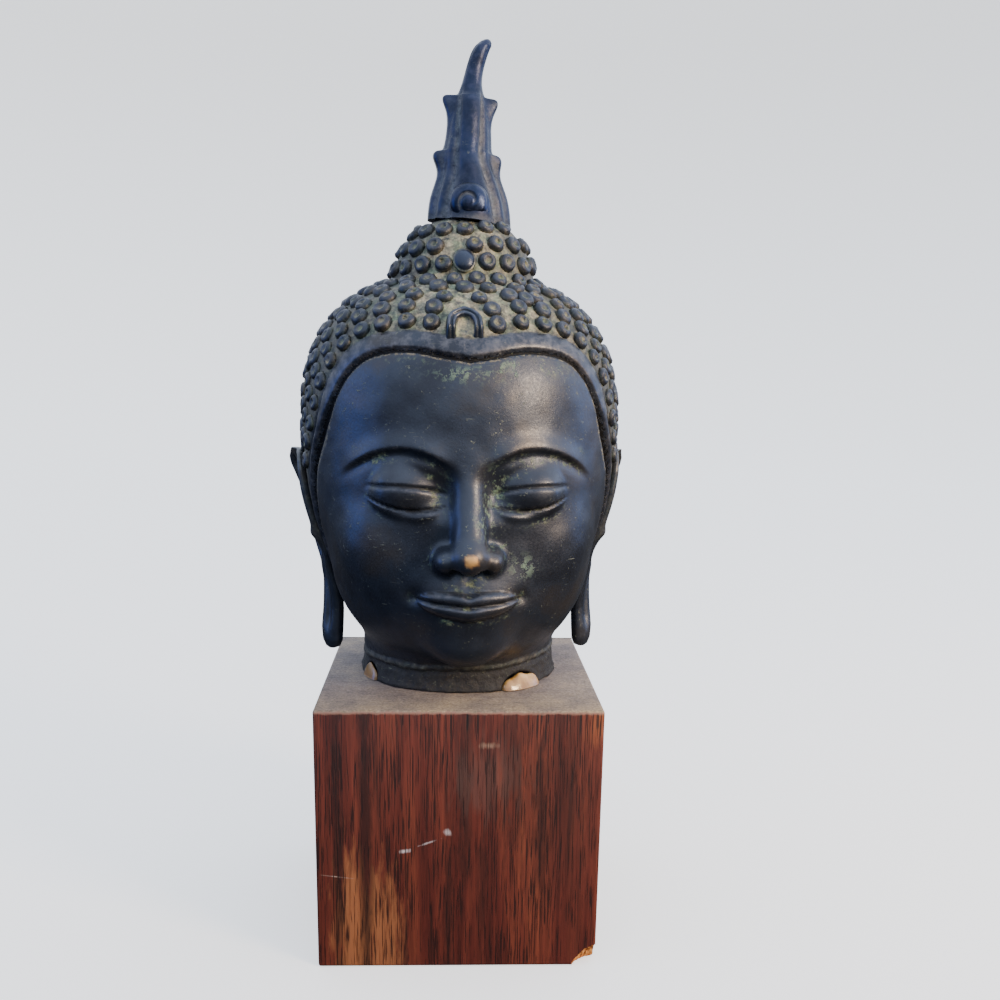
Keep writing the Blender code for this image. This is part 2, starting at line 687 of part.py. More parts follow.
def ear_mesh(side):
    knots = np.array(EAR_LINE)
    heights = np.array([7.0, 7.9, 10.4, 14, 19, 25, 32, 40, 47, 54, 61, 67, 73, 78, 81.5, 83.4])
    rows = [[np.interp(h, knots[:, 0], column) for column in knots.T] for h in heights]
    bm = loft([ear_ring(*row) for row in rows])
    if side < 0:
        bm.transform(Matrix.Scale(-1, 4, (1, 0, 0)))
        bmesh.ops.reverse_faces(bm, faces=bm.faces)
    return bm


# The niche over the middle of the band, and the boss on the crown
NICHE_X = -1.6
NICHE_FOOT = 123.4
NICHE_HALF_WIDTH = 5.6
NICHE_HEIGHT = 10.4
NICHE_RIM = 2.7
NICHE_RISE = 2.9
NICHE_HOLLOW = 1.8
BOSS_X = -0.9
BOSS_HEIGHT = 149.6
BOSS_RADII = (3.7, 4.1, 3.6)


def seat_frame(x, height, over):
    """Turns a flat drawing to lie on the front of the head: x to the right, y up the surface, z outward."""
    foot, head = (Vector(p) for p in front_points(np.array([x, x]), np.array([height, height + over])))
    up = (head - foot).normalized()
    frame = Matrix((Vector((1, 0, 0)), up, Vector((1, 0, 0)).cross(up))).transposed().to_4x4()
    frame.translation = foot
    return frame


def niche_mesh():
    w, h = NICHE_HALF_WIDTH, NICHE_HEIGHT
    outline = [(-w, 0), (w, 0), (w, 0.42 * h), (0.78 * w, 0.70 * h), (0.36 * w, 0.88 * h), (0, h)]
    outline += [(-x, y) for x, y in outline[-2:1:-1]]
    bm = bmesh.new()
    face = bm.faces.new([bm.verts.new((x, y, NICHE_RISE)) for x, y in outline])
    bmesh.ops.inset_individual(bm, faces=[face], thickness=0.1)
    inner = ((w - NICHE_RIM) / w, (h - NICHE_RIM) / h, 1)
    bmesh.ops.scale(bm, vec=inner, verts=face.verts)
    bmesh.ops.inset_individual(bm, faces=[face], thickness=0.3, depth=-NICHE_HOLLOW)
    rim = [e for e in bm.edges if e.is_boundary]
    deep = bmesh.ops.extrude_edge_only(bm, edges=rim)["geom"]
    low = [v for v in deep if isinstance(v, bmesh.types.BMVert)]
    bmesh.ops.translate(bm, verts=low, vec=(0, 0, -NICHE_RISE - 3))
    bmesh.ops.contextual_create(bm, geom=[e for e in deep if isinstance(e, bmesh.types.BMEdge)])
    bmesh.ops.recalc_face_normals(bm, faces=bm.faces)
    bm.transform(seat_frame(NICHE_X, NICHE_FOOT, NICHE_HEIGHT))
    return bm


def ball_mesh(radii, matrix, u=12, v=8):
    bm = bmesh.new()
    bmesh.ops.create_uvsphere(bm, u_segments=u, v_segments=v, radius=1)
    bm.transform(matrix @ Matrix.Diagonal((*radii, 1)))
    return bm


def boss_mesh():
    return ball_mesh(BOSS_RADII, seat_frame(BOSS_X, BOSS_HEIGHT, 3.0))


def seat_cutter_mesh(lift):
    """A wide box whose underside is the finial's slanting seat."""
    bm = bmesh.new()
    bmesh.ops.create_cube(bm, size=100)
    place = Matrix.Translation((FINIAL_AXIS[0], FINIAL_AXIS[1], FINIAL_SEAT_HEIGHT + lift))
    bm.transform(place @ Matrix.Rotation(FINIAL_SEAT_SLOPE, 4, "Y") @ Matrix.Translation((0, 0, 50)))
    return bm


# The finial
# Up its outline: height above the seat, half width. Two tiers end in tips that hook outward.
FINIAL_OUTLINE = (
    (-0.1, 15.0), (2.9, 14.9), (7.9, 14.2), (13.2, 12.6), (16.9, 11.4), (20.0, 11.6),
    (22.9, 12.2), (24.0, 11.4), (24.6, 9.2), (26.5, 8.5), (32.9, 7.9), (35.9, 8.1),
    (39.9, 9.4), (41.8, 9.8), (42.8, 9.0), (43.3, 5.3), (44.6, 4.2), (47.6, 3.4),
    (52.1, 3.0), (56.6, 3.0), (59.5, 2.5), (61.1, 1.8),
)
# Its body between the tips, and the way the spike's middle leans to the right
FINIAL_BODY = (
    (-0.1, 14.6), (7.9, 13.2), (17.4, 10.2), (25.9, 8.4), (35.9, 7.2), (41.4, 6.0), (44.5, 4.2),
    (47.6, 3.4), (52.1, 3.0), (56.6, 2.8), (59.5, 2.3), (61.1, 1.6),
)
FINIAL_LEAN = (
    (-0.1, 0.0), (15.9, -0.2), (22.9, -0.9), (26.5, -0.5), (37.9, 0.0), (43.3, 0.1), (47.9, 0.6), (52.4, 1.5), (56.9, 2.9), (59.5, 4.5), (61.1, 6.2),
)
RIB_HALF_WIDTH = 4.7
VOLUTE_PLACE = (2.1, -12.6, FINIAL_SEAT_HEIGHT + 6.1)
VOLUTE_RADII = (6.6, 5.2, 3.8)


def finial_ring(height):
    """The finial at a height above its seat: ribs at the front, back and sides, with grooves between."""
    outer = np.interp(height, *zip(*FINIAL_OUTLINE))
    body = np.interp(height, *zip(*FINIAL_BODY))
    lean = np.interp(height, *zip(*FINIAL_LEAN))
    fluted = float(ramp(HIGH_TIER_HEIGHT + 1.8, HIGH_TIER_HEIGHT - 3.2, height))
    first = math.degrees(math.asin(min(0.7, RIB_HALF_WIDTH / body)))
    second = first + 0.48 * (90 - first)
    low_tier = float(ramp(LOW_TIER_HEIGHT + 3, LOW_TIER_HEIGHT - 6, height))
    turns = (0, 0.55 * first, first, (first + second) / 2, second, (second + 90) / 2, 90)
    swell = (0.07, 0.05, -0.10, 0.03, -0.07 * low_tier, 0.02, 0)
    quarter = []
    for turn, rise in zip(turns, swell):
        wide = body + (outer - body) * float(ramp(second - 4, 84, turn))
        a = math.radians(turn)
        size = 1 + rise * fluted
        quarter.append((wide * size * math.sin(a), -body * size * math.cos(a)))
    half = quarter + [(x, -y) for x, y in quarter[-2::-1]]
    ring = half + [(-x, y) for x, y in half[-2:0:-1]]
    drop = math.tan(FINIAL_TIER_SLOPE)
    level = FINIAL_SEAT_HEIGHT + height
    return [Vector((FINIAL_AXIS[0] + lean + x, FINIAL_AXIS[1] + y, level - drop * x)) for x, y in ring]


def finial_mesh():
    heights = [-4.1, 2.9, 6.9, 10.9, 14.9, 17.9, 20.9, 22.9, 24.0, 24.6, 27.4, 31.9, 35.9, 39.2]
    heights += [41.8, 42.8, 43.3, 44.7, 47.4, 50.9, 54.4, 57.4, 59.5, 61.1]
    rings = [finial_ring(h) for h in heights]
    tip = rings[-1]
    middle = sum(tip, Vector()) / len(tip)
    rings.append([middle + (p - middle) * 0.5 + Vector((0.9, 0, 0.8)) for p in tip])
    return loft(rings)


# The glue, and the broken places in the neck's rim that it fills
def glue_ball(turn, half_width, height, clearance):
    out = Vector((math.cos(turn), math.sin(turn), 0))
    rim = Vector((out.x * (NECK_RADII[0] + NECK_FLARE), out.y * (NECK_RADII[1] + NECK_FLARE), 0))
    frame = Matrix((out.cross(Vector((0, 0, 1))), out, Vector((0, 0, 1)))).transposed().to_4x4()
    frame.translation = rim - out * 1.0 - Vector((0, 0, GLUE_SINK))
    radii = [half_width + clearance, GLUE_BULGE + clearance, height + clearance]
    return ball_mesh(radii, frame, 16, 10)


def glue_mesh(turn, half_width, height):
    bm = glue_ball(turn, half_width, height, 0.0)
    foot = GLUE_GAP / UNIT - SEAT_GAP / UNIT
    everything = bm.verts[:] + bm.edges[:] + bm.faces[:]
    cut = bmesh.ops.bisect_plane(
        bm, geom=everything, plane_co=(0, 0, foot), plane_no=(0, 0, 1), clear_inner=True
    )["geom_cut"]
    bmesh.ops.contextual_create(bm, geom=[e for e in cut if isinstance(e, bmesh.types.BMEdge)])
    bmesh.ops.recalc_face_normals(bm, faces=bm.faces)
    return bm


# The block
def block_mesh():
    bm = bmesh.new()
    bmesh.ops.create_cube(bm, size=1)
    size = Matrix.Diagonal((BLOCK_WIDTH, BLOCK_DEPTH, BLOCK_HEIGHT, 1))
    bm.transform(Matrix.Translation((0, 0, BLOCK_HEIGHT / 2)) @ size)
    upright = [e for e in bm.edges if abs(e.verts[0].co.z - e.verts[1].co.z) > BLOCK_HEIGHT / 2]
    back = [e for e in upright if e.verts[0].co.y > 0]
    bmesh.ops.bevel(bm, geom=back, offset=BLOCK_BACK_CORNER, segments=5, profile=0.5, affect="EDGES")
    sharp = [e for e in bm.edges if e.calc_face_angle() > math.radians(40)]
    bmesh.ops.bevel(bm, geom=sharp, offset=BLOCK_EDGE, segments=2, profile=0.5, affect="EDGES")
    return bm


def chip_mesh():
    """The broken corner, as shares of the chip's width, depth and height from the block's lower corner."""
    shares = [
        (-1, 0, 0), (-0.85, 0, 0.44), (-0.71, 0, 0.79), (-0.36, 0, 0.95), (0, 0, 1.04),
        (0, 1, 0), (0, 0.8, 0.5), (-0.55, 0.6, 0),
    ]
    corner = Vector((BLOCK_WIDTH / 2, -BLOCK_DEPTH / 2, 0))
    bm = bmesh.new()
    for x, y, z in shares:
        outside = Vector((0.003 * (x == 0), -0.003 * (y == 0), -0.003 * (z == 0)))
        bm.verts.new(corner + Vector((x * CHIP_WIDTH, y * CHIP_DEPTH, z * CHIP_HEIGHT)) + outside)
    bm.verts.new(corner + Vector((0.003, -0.003, -0.003)))
    bmesh.ops.convex_hull(bm, input=bm.verts)
    return bm


# Assembly
def build():
    clear_scene()
    parts = make_collection("head_on_block")
    cutters = make_collection("cutters")
    bronze, rubbed, wood, glue = (make_material(*m) for m in (BRONZE, FINIAL_BRONZE, WOOD, GLUE))

    def helper(name, bm):
        place_on_grid(bm)
        return make_cutter(add_object(name, bm, cutters))

    base = head_mesh()
    place_on_grid(base)
    head = add_object("head", base, parts, bronze)
    for side, name in ((1, "ear_right"), (-1, "ear_left")):
        add_boolean(head, helper(name, ear_mesh(side)), "UNION")
    add_boolean(head, helper("niche", niche_mesh()), "UNION")
    add_boolean(head, helper("crown_boss", boss_mesh()), "UNION")
    add_boolean(head, helper("seat_cut", seat_cutter_mesh(0)), "DIFFERENCE")

    body = finial_mesh()
    place_on_grid(body)
    finial = add_object("flame_finial", body, parts, rubbed)
    front = Matrix.Translation(VOLUTE_PLACE) @ Matrix.Rotation(math.radians(90), 4, "X")
    add_boolean(finial, helper("volute", ball_mesh(VOLUTE_RADII, front, 14, 8)), "UNION")
    seat = seat_cutter_mesh(SEAT_GAP / UNIT)
    add_boolean(finial, helper("seat_keep", seat), "INTERSECT")

    for name, (turn, half_width, height) in GLUE_SPOTS.items():
        notch = glue_ball(turn, half_width, height, NOTCH_CLEARANCE)
        add_boolean(head, helper(name + "_notch", notch), "DIFFERENCE")
        bead = glue_mesh(turn, half_width, height)
        place_on_grid(bead)
        add_object(name, bead, parts, glue)

    block = add_object("wood_block", block_mesh(), parts, wood, 30)
    chip = make_cutter(add_object("chip", chip_mesh(), cutters))
    add_boolean(block, chip, "DIFFERENCE")


build()
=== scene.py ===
# %% [markdown]
# # A bronze head on a wooden block
# The object is a cast bronze head with snail-curl hair and a tall flame on its crown, glued by the neck
# to a plain block of hardwood. The solids that carry it come from the frame and are never changed.
# This lesson models the finer skins that stand for them, and the surfaces that the eye reads as old
# bronze, worn wood and resin.

# %% The frame
import math

import bpy
import numpy as np
from mathutils import Matrix, Vector, noise


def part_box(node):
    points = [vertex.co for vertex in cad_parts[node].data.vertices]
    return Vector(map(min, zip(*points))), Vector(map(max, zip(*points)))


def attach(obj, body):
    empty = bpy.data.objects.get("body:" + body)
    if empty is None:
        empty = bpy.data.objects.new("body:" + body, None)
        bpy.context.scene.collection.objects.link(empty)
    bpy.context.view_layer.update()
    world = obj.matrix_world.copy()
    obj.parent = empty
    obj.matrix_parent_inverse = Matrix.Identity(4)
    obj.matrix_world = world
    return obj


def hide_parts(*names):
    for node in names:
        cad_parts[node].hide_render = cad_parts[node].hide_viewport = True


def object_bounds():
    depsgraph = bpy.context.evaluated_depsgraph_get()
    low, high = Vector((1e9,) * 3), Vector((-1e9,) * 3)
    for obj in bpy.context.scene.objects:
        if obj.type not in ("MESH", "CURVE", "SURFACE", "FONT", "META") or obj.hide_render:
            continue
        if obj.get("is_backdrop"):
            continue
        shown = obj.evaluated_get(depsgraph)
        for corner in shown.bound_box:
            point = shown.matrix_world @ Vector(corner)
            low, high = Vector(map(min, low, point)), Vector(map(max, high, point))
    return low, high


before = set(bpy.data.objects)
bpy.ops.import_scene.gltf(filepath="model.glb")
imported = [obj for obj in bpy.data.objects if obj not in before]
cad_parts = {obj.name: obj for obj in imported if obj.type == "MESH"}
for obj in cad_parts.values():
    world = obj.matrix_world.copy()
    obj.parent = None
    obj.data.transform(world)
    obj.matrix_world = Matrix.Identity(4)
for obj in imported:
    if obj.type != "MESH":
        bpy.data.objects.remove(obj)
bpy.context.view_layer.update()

bpy.ops.object.select_all(action="DESELECT")
print("nodes in the frame:", sorted(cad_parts))

# %% [markdown]
# ## One grid for the head
# The head is drawn on a grid of millimetres that starts at the foot of the neck's axis. One matrix puts
# the grid on the block and turns it a little to the right, as the head is glued. Working in
# millimetres keeps every number close to what a caster would say.

# %% The grid
MM = 0.001
BLOCK_LOW, BLOCK_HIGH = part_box("wood_block")
SET_BACK = 5.0
HEAD_TURN = math.radians(2.8)
HEAD_FOOT = Vector((0, SET_BACK * MM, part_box("head")[0].z))
TO_WORLD = Matrix.Translation(HEAD_FOOT) @ Matrix.Rotation(HEAD_TURN, 4, "Z") @ Matrix.Scale(MM, 4)
print("head stands at", [round(v / MM, 1) for v in HEAD_FOOT])

# %% [markdown]
# ## Forms to blend
# A sculptor builds a head from simple lumps pressed together: egg for skull, cone for neck, wedge for
# nose. The same can be done with distances: each function says how far points are outside a lump,
# and two lumps are joined with a soft fillet. It could be sculpted by hand with brushes instead, but
# numbers can be mirrored exactly and measured against the solid below.


# %% Lumps and fillets
def ellipsoid(p, centre, radii):
    """How far points are outside an egg."""
    q = (p - centre) / radii
    near = np.linalg.norm(q, axis=1) + 1e-9
    return near * (near - 1) / (np.linalg.norm(q / radii, axis=1) + 1e-9)


def squared_ellipsoid(p, centre, radii, power):
    """The same for an egg that is fuller at its shoulders, round in plan."""
    q = np.abs((p - centre) / radii)
    k = (np.hypot(q[:, 0], q[:, 1]) ** power + q[:, 2] ** power) ** (1 / power) + 1e-9
    return (k - 1) * np.linalg.norm(p - centre, axis=1) / k


def tapered_rod(p, start, end, start_radius, end_radius):
    """The same for a round rod with two thicknesses."""
    along = np.subtract(end, start)
    t = np.clip((p - start) @ along / (along @ along), 0, 1)
    radius = start_radius + (end_radius - start_radius) * t
    return np.linalg.norm(p - start - t[:, None] * along, axis=1) - radius


def blend(a, b, width):
    """The union of two forms, with a fillet of about that width."""
    h = np.clip(0.5 + 0.5 * (b - a) / width, 0, 1)
    return b + (a - b) * h - width * h * (1 - h)


def carve(a, b, width):
    """Form a with form b taken out of it."""
    return -blend(-a, b, width)


def ramp(low, high, value):
    """Runs smoothly from 0 at low to 1 at high."""
    t = np.clip((value - low) / (high - low), 0, 1)
    return t * t * (3 - 2 * t)


def hump(value, width):
    """A bell: 1 where the value is 0, and soon nothing past the width."""
    return np.exp(-((value / width) ** 2))


def dome(value):
    """A half circle over -1 to 1, and nothing outside."""
    return np.sqrt(np.clip(1 - value**2, 0, 1))


def rounded(value, width):
    """A fuller bell with a clean edge at the width."""
    t = np.clip(1 - (value / width) ** 2, 0, 1)
    return t * (2 - t) ** 0.5


def smooth_line(knots, values, count=400):
    """Samples a natural cubic through a few knots: returns positions, values and slopes."""
    knots, values = np.asarray(knots, float), np.asarray(values, float)
    n, h = len(knots), np.diff(knots)
    rows, sums = np.eye(n), np.zeros(n)
    for i in range(1, n - 1):
        rows[i, i - 1 : i + 2] = h[i - 1], 2 * (h[i - 1] + h[i]), h[i]
        sums[i] = 3 * ((values[i + 1] - values[i]) / h[i] - (values[i] - values[i - 1]) / h[i - 1])
    c = np.linalg.solve(rows, sums)
    at = np.linspace(knots[0], knots[-1], count)
    i = np.clip(np.searchsorted(knots, at) - 1, 0, n - 2)
    slope = (values[i + 1] - values[i]) / h[i] - h[i] * (2 * c[i] + c[i + 1]) / 3
    s = at - knots[i]
    line = values[i] + slope * s + c[i] * s**2 + (c[i + 1] - c[i]) / (3 * h[i]) * s**3
    return at, line, np.gradient(line, at)


touching = np.zeros(1)
fillet = -float(blend(touching, touching, 4)[0])
print("a fillet 4 mm wide adds", round(fillet, 2), "mm where two lumps touch")

# %% [markdown]
# ## The hair band
# A smooth rounded band frames the face, with a deep line cut along its inner side. It runs in a
# shallow V over the forehead, square over the temples, and thins to a narrow ridge beside the cheeks.
# It is a line drawn round the face: how far it lies from straight ahead, by the turn round that axis.

# %% The hair band
BAND_CENTRE = np.array([0.0, -2.0, 80.0])
BAND_HALF_WIDTH = 3.0
BAND_RISE = 1.15
# Turns, in degrees from the top of the head, over which the band thins and where it fades out
BAND_THINS, BAND_FADES = (58, 84), (146, 134)
NICHE_X = -1.6
NAPE_HEIGHT = 25.0
BAND_TURN, BAND_AWAY, BAND_SLOPE = smooth_line(
    (0, 10, 20, 30, 40, 50, 64, 76, 90, 112, 128, 142),
    (39.1, 40.9, 44.8, 49.7, 55.0, 58.7, 62.3, 66.4, 74.0, 82.5, 87.5, 90.0),
)


def band_distance(p):
    """Distance over the surface from the band's middle, positive on the hair's side, and the turn."""
    d = p - BAND_CENTRE
    reach = np.linalg.norm(d, axis=1) + 1e-9
    away = np.degrees(np.arccos(np.clip(-d[:, 1] / reach, -1, 1)))
    turn = 90 - np.degrees(np.arctan2(d[:, 2], np.abs(d[:, 0])))
    line = np.interp(turn, BAND_TURN, BAND_AWAY)
    slope = np.interp(turn, BAND_TURN, BAND_SLOPE) / np.sin(np.radians(np.clip(away, 20, 160)))
    return np.radians(away - line) * reach / np.sqrt(1 + slope**2), turn


def band_lines(p):
    """Place across the band, the turn, its half width, and the middle and half width of its cut."""
    across, turn = band_distance(p)
    thin = ramp(*BAND_THINS, turn)
    half = BAND_HALF_WIDTH - 1.7 * thin
    cut_half = 0.5 + 1.0 * thin
    return across, turn, half, -half - 0.7 * cut_half, cut_half


def band_relief(p):
    """The rounded band, the cut along its inner side, the scalp's step, and a seam over the nose."""
    across, turn, half, cut, cut_half = band_lines(p)
    fade = ramp(*BAND_FADES, turn)
    roll = BAND_RISE * dome(across / half) ** 0.4
    groove = -(0.7 + 0.9 * ramp(*BAND_THINS, turn)) * hump(across - cut, 1.1 * cut_half)
    scalp = 0.8 * ramp(BAND_HALF_WIDTH - 0.6, BAND_HALF_WIDTH + 0.6, across)
    nape = ramp(NAPE_HEIGHT - 4, NAPE_HEIGHT + 2, p[:, 2])
    seam = -0.35 * hump(p[:, 0] - NICHE_X - 0.6, 0.35) * ramp(2.5, 1.5, np.abs(across))
    seam = seam * (p[:, 1] < -30)
    return (roll + groove) * fade + scalp * nape + seam


print("band is", 2 * BAND_HALF_WIDTH, "mm wide over the forehead")

# %% [markdown]
# ## The face
# The face is a calm one of our own, set out by the usual rule of halves and thirds: eyes half way
# up the skull, the nose a third of the face, the mouth a third of the way from nose to chin. The lids
# are closed, as on many such heads. Each feature is a low relief laid over the blended lumps.

# %% The face's relief
EYE_OUT, EYE_HALF, LID_HEIGHT = 20.3, 11.0, 70.6
BROW_HEIGHT, BROW_MIDDLE, BROW_HALF = 88.6, 22.0, 17.5
NOSE_BASE = 48.7
LIP_LINE, MOUTH_HALF = 37.0, 17.0
CHIN_HEIGHT = 14


def lid_line(out):
    """Height of the upper lid's edge at a distance out from the nose, and the share across it."""
    u = (out - EYE_OUT) / EYE_HALF
    return LID_HEIGHT - 1.9 * (1 - u**2) + 0.9 * u, u


def brow_relief(out, z):
    """The brow's ridge, sharp below and soft above, over a shallow hollow."""
    s = (out - BROW_MIDDLE) / BROW_HALF
    up = z - (BROW_HEIGHT - 6.4 * s**2)
    ridge = 1.4 * np.where(up < 0, hump(up, 1.1), hump(up, 4.2))
    return (ridge - 0.6 * hump(up + 2.8, 1.8)) * ramp(44, 34, out) * ramp(4, 14, out)


def lid_relief(out, z):
    """The crease over the closed lid, the slit at its edge and a soft swelling below."""
    edge, u = lid_line(out)
    crease = -0.8 * hump(z - edge - 7.2 + 3.0 * u**2, 0.65)
    pouch = 0.5 * hump(z - edge + 3.0 - 1.5 * u**2, 1.3)
    slit = -0.8 * hump(z - edge + 0.55, 0.42)
    return (crease + pouch + slit) * ramp(1.35, 0.8, np.abs(u))


def lip_relief(out, z):
    """Both lips, the line between them, the dips at their corners and the groove under the nose."""
    m = out / MOUTH_HALF
    v = z - (LIP_LINE + 1.3 * m**2 - 0.5 * hump(out, 3.0))
    reach = np.clip(1 - m**2, 0, 1) ** 0.6
    over = 0.6 + 4.2 * reach - 0.7 * hump(out, 2.0)
    under = 0.6 + 4.8 * reach
    upper = 1.9 * rounded(v / over - 0.42, 0.58) * (v > 0)
    lower = 2.2 * rounded(v / under + 0.45, 0.55) * (v <= 0)
    parting = -1.0 * hump(v, 0.6) * ramp(1.15, 0.8, m)
    corner = -1.3 * hump(np.hypot(out - MOUTH_HALF - 1, z - LIP_LINE - 1.6), 2.8)
    philtrum = -0.6 * hump(out, 1.7) * ramp(41.5, 44, z) * ramp(50, 47, z)
    return (upper + lower) * reach + parting + corner + philtrum


print("face from chin to brow:", round(BROW_HEIGHT - CHIN_HEIGHT, 1), "mm")

# %% [markdown]
# ## The whole head's form
# Skull, jaw, cheeks, chin, nose, eyeballs under their lids, crown dome and neck are blended one after
# the other. The neck's rim is cut flat where it stands on the block, its edge waves a little as
# a rough cast edge does, and two bites are broken out of it where glue shows.

# %% The head's form
CROWN_CENTRE, CROWN_RADII, CROWN_LEAN = (0.3, 0.0, 141.0), (25.2, 25.2, 26.2), 0.06
NECK_RADII, NECK_FLARE, CREASE_HEIGHT = (36.6, 35.2), 1.5, 7.5
SEAT_X, SEAT_HEIGHT, SEAT_SLOPE = 2.7, 164.1, math.radians(5.6)
# Glue at the rim: turn round the neck, half width, height
GLUE_SPOTS = {
    "glue_bead_right": (math.radians(-55), 8.5, 6.0),
    "glue_bead_left": (math.radians(-155), 5.4, 6.2),
}
GLUE_BULGE, GLUE_SINK, GLUE_CLEARANCE = 4.2, 0.7, 0.3
NECK_TOP = 40
# Face, jaw, chin, mouth and cheeks are pressed onto the skull: width of the fillet, centre, radii
FACE_LUMPS = (
    (8, (0, -8, 60), (49.5, 47, 60)),
    (9, (0, -13, 41), (43, 40, 31)),
    (7, (0, -43.5, 22.5), (13, 10, 10)),
    (7, (0, -41, 38), (19, 15.5, 13)),
    (10, (27, -32, 55), (14, 14, 14)),
)


def glue_frame(turn):
    """Stands at the neck's rim: along the rim, outward and up."""
    out = Vector((math.cos(turn), math.sin(turn), 0))
    rim = Vector((out.x * (NECK_RADII[0] + NECK_FLARE), out.y * (NECK_RADII[1] + NECK_FLARE), 0))
    place = Matrix((out.cross(Vector((0, 0, 1))), out, Vector((0, 0, 1)))).transposed().to_4x4()
    place.translation = rim - out - Vector((0, 0, GLUE_SINK))
    return place


def skull_form(q):
    """The skull with its face, as one closed lump."""
    d = squared_ellipsoid(q, (0, 3, 90), (57.2, 58, 55.3), 2.7)
    for width, centre, radii in FACE_LUMPS:
        d = blend(d, ellipsoid(q, centre, radii), width)
    return d


def above_crease(p):
    """Height above the neck's crease, which wanders and rises a little to the right."""
    turn = np.arctan2(p[:, 1], p[:, 0])
    wander = 0.045 * p[:, 0] + 0.5 * np.sin(2 * turn + 0.4)
    wander = wander + 0.35 * np.sin(7 * turn + 1) + 0.12 * np.sin(29 * turn)
    return p[:, 2] - CREASE_HEIGHT - wander


def neck_form(p):
    """The neck's wall, flared and wavy at its foot, with a worn crease round it."""
    width, depth = NECK_RADII
    ring = np.hypot(p[:, 0] / width, p[:, 1] / depth) * (width + depth) / 2
    turn = np.arctan2(p[:, 1], p[:, 0])
    wave = 0.25 * np.sin(5 * turn + 1) + 0.2 * np.sin(13 * turn) + 0.12 * np.sin(29 * turn + 2)
    flare = (NECK_FLARE + wave) * np.exp(-np.abs(p[:, 2]) / 2.5)
    up = above_crease(p)
    crease = -0.8 * hump(up, 0.7) + 0.35 * hump(up - 1.6, 0.9)
    crease = crease - 0.45 * hump(up - 3.4 + 0.5 * np.sin(9 * turn), 0.5)
    return np.maximum(ring - (width + depth) / 2 - flare - crease, p[:, 2] - NECK_TOP)


def nose_form(q):
    """Bridge, tip, root and wings of the nose."""
    d = tapered_rod(q, (0, -46.0, 90), (0, -59.8, 54.0), 3.6, 5.8)
    d = blend(d, ellipsoid(q, (0, -60.8, 53.4), (5.8, 5.8, 5.2)), 3)
    d = blend(d, ellipsoid(q, (0, -48.0, 84.5), (5.2, 5.6, 10.0)), 3)
    return blend(d, ellipsoid(q, (7.4, -56.5, NOSE_BASE + 3.5), (4.2, 6.5, 4.3)), 2.2)


def bitten(d, p):
    """The form with the broken places of the neck's rim taken out."""
    for turn, half_width, height in GLUE_SPOTS.values():
        back = np.array(glue_frame(turn).inverted())
        local = p @ back[:3, :3].T + back[:3, 3]
        radii = np.add((half_width, GLUE_BULGE, height), GLUE_CLEARANCE)
        d = np.maximum(d, -ellipsoid(local, (0, 0, 0), radii))
    return d


def head_form(p):
    """Distance outside the head without its ears, curls and finial."""
    q = np.column_stack([np.abs(p[:, 0]), p[:, 1], p[:, 2]])
    out, z = q[:, 0], q[:, 2]
    d = skull_form(q)
    leaned = p - np.outer(CROWN_LEAN * np.clip(z - CROWN_CENTRE[2], 0, None), [1, 0, 0])
    d = blend(d, ellipsoid(leaned, CROWN_CENTRE, CROWN_RADII), 4)
    d = blend(d, neck_form(p), 5)
    # the eyes' sockets, the nose and its nostrils, then the eyeballs under their lids
    d = carve(d, ellipsoid(q, (19.5, -61.5, 76.5), (15.5, 9.5, 9.5)), 5)
    d = carve(d, ellipsoid(q, (9, -61, 74), (5.5, 9, 8)), 5)
    d = blend(d, nose_form(q), 3)
    d = carve(d, ellipsoid(q, (4.3, -60, NOSE_BASE - 1.1), (2.3, 3.8, 2.6)), 1.2)
    edge, u = lid_line(out)
    lid = 1.15 * ramp(-0.35, 0.35, z - edge) * ramp(1.2, 0.7, np.abs(u))
    d = blend(d, ellipsoid(q, (EYE_OUT, -41.2, 73.5), (13, 12.2, 11.5)) - lid, 1.6)
    front = ramp(-25, -37, p[:, 1])
    d = d - front * (brow_relief(out, z) + lid_relief(out, z) + lip_relief(out, z)) - band_relief(p)
    seat = (z - SEAT_HEIGHT) * math.cos(SEAT_SLOPE) + (p[:, 0] - SEAT_X) * math.sin(SEAT_SLOPE)
    return bitten(np.maximum(np.maximum(d, seat), -z), p)


FAR_OUT, STEP_SHARE, CLOSE_ENOUGH, MOST_STEPS = 130.0, 0.8, 0.006, 90


def walk_in(starts, directions):
    """Walks from outside the head back along rays to its surface."""
    reach = np.full(len(starts), FAR_OUT)
    live = np.arange(len(starts))
    for _ in range(MOST_STEPS):
        d = head_form(starts[live] + directions[live] * reach[live, None])
        reach[live] -= STEP_SHARE * d
        live = live[np.abs(d) > CLOSE_ENOUGH]
        if not len(live):
            break
    return starts + directions * reach[:, None]


def bending(p, step=0.7):
    """How the surface turns: positive on a ridge and negative in a hollow, per millimetre."""
    around = sum(head_form(p + s * step * axis) for axis in np.eye(3) for s in (-1, 1))
    return (around - 6 * head_form(p)) / step**2


def outward(p, step=0.05):
    """The direction straight out of the surface."""
    moves = step * np.eye(3)
    slope = np.column_stack([head_form(p + move) - head_form(p - move) for move in moves])
    return slope / (np.linalg.norm(slope, axis=1)[:, None] + 1e-9)


print("crown dome is", 2 * CROWN_RADII[0], "mm across")

# %% [markdown]
# ## A ball as the start of every rounded piece
# A ball from Blender's menu is already closed, smooth and unwrapped. Each of its points is known by two
# shares: the way round and the way down. A function then says where a point of that ring and column
# belongs on the real piece. Extruding rings one by one would give the same net, but a ball keeps
# its poles closed and its faces pointing out.


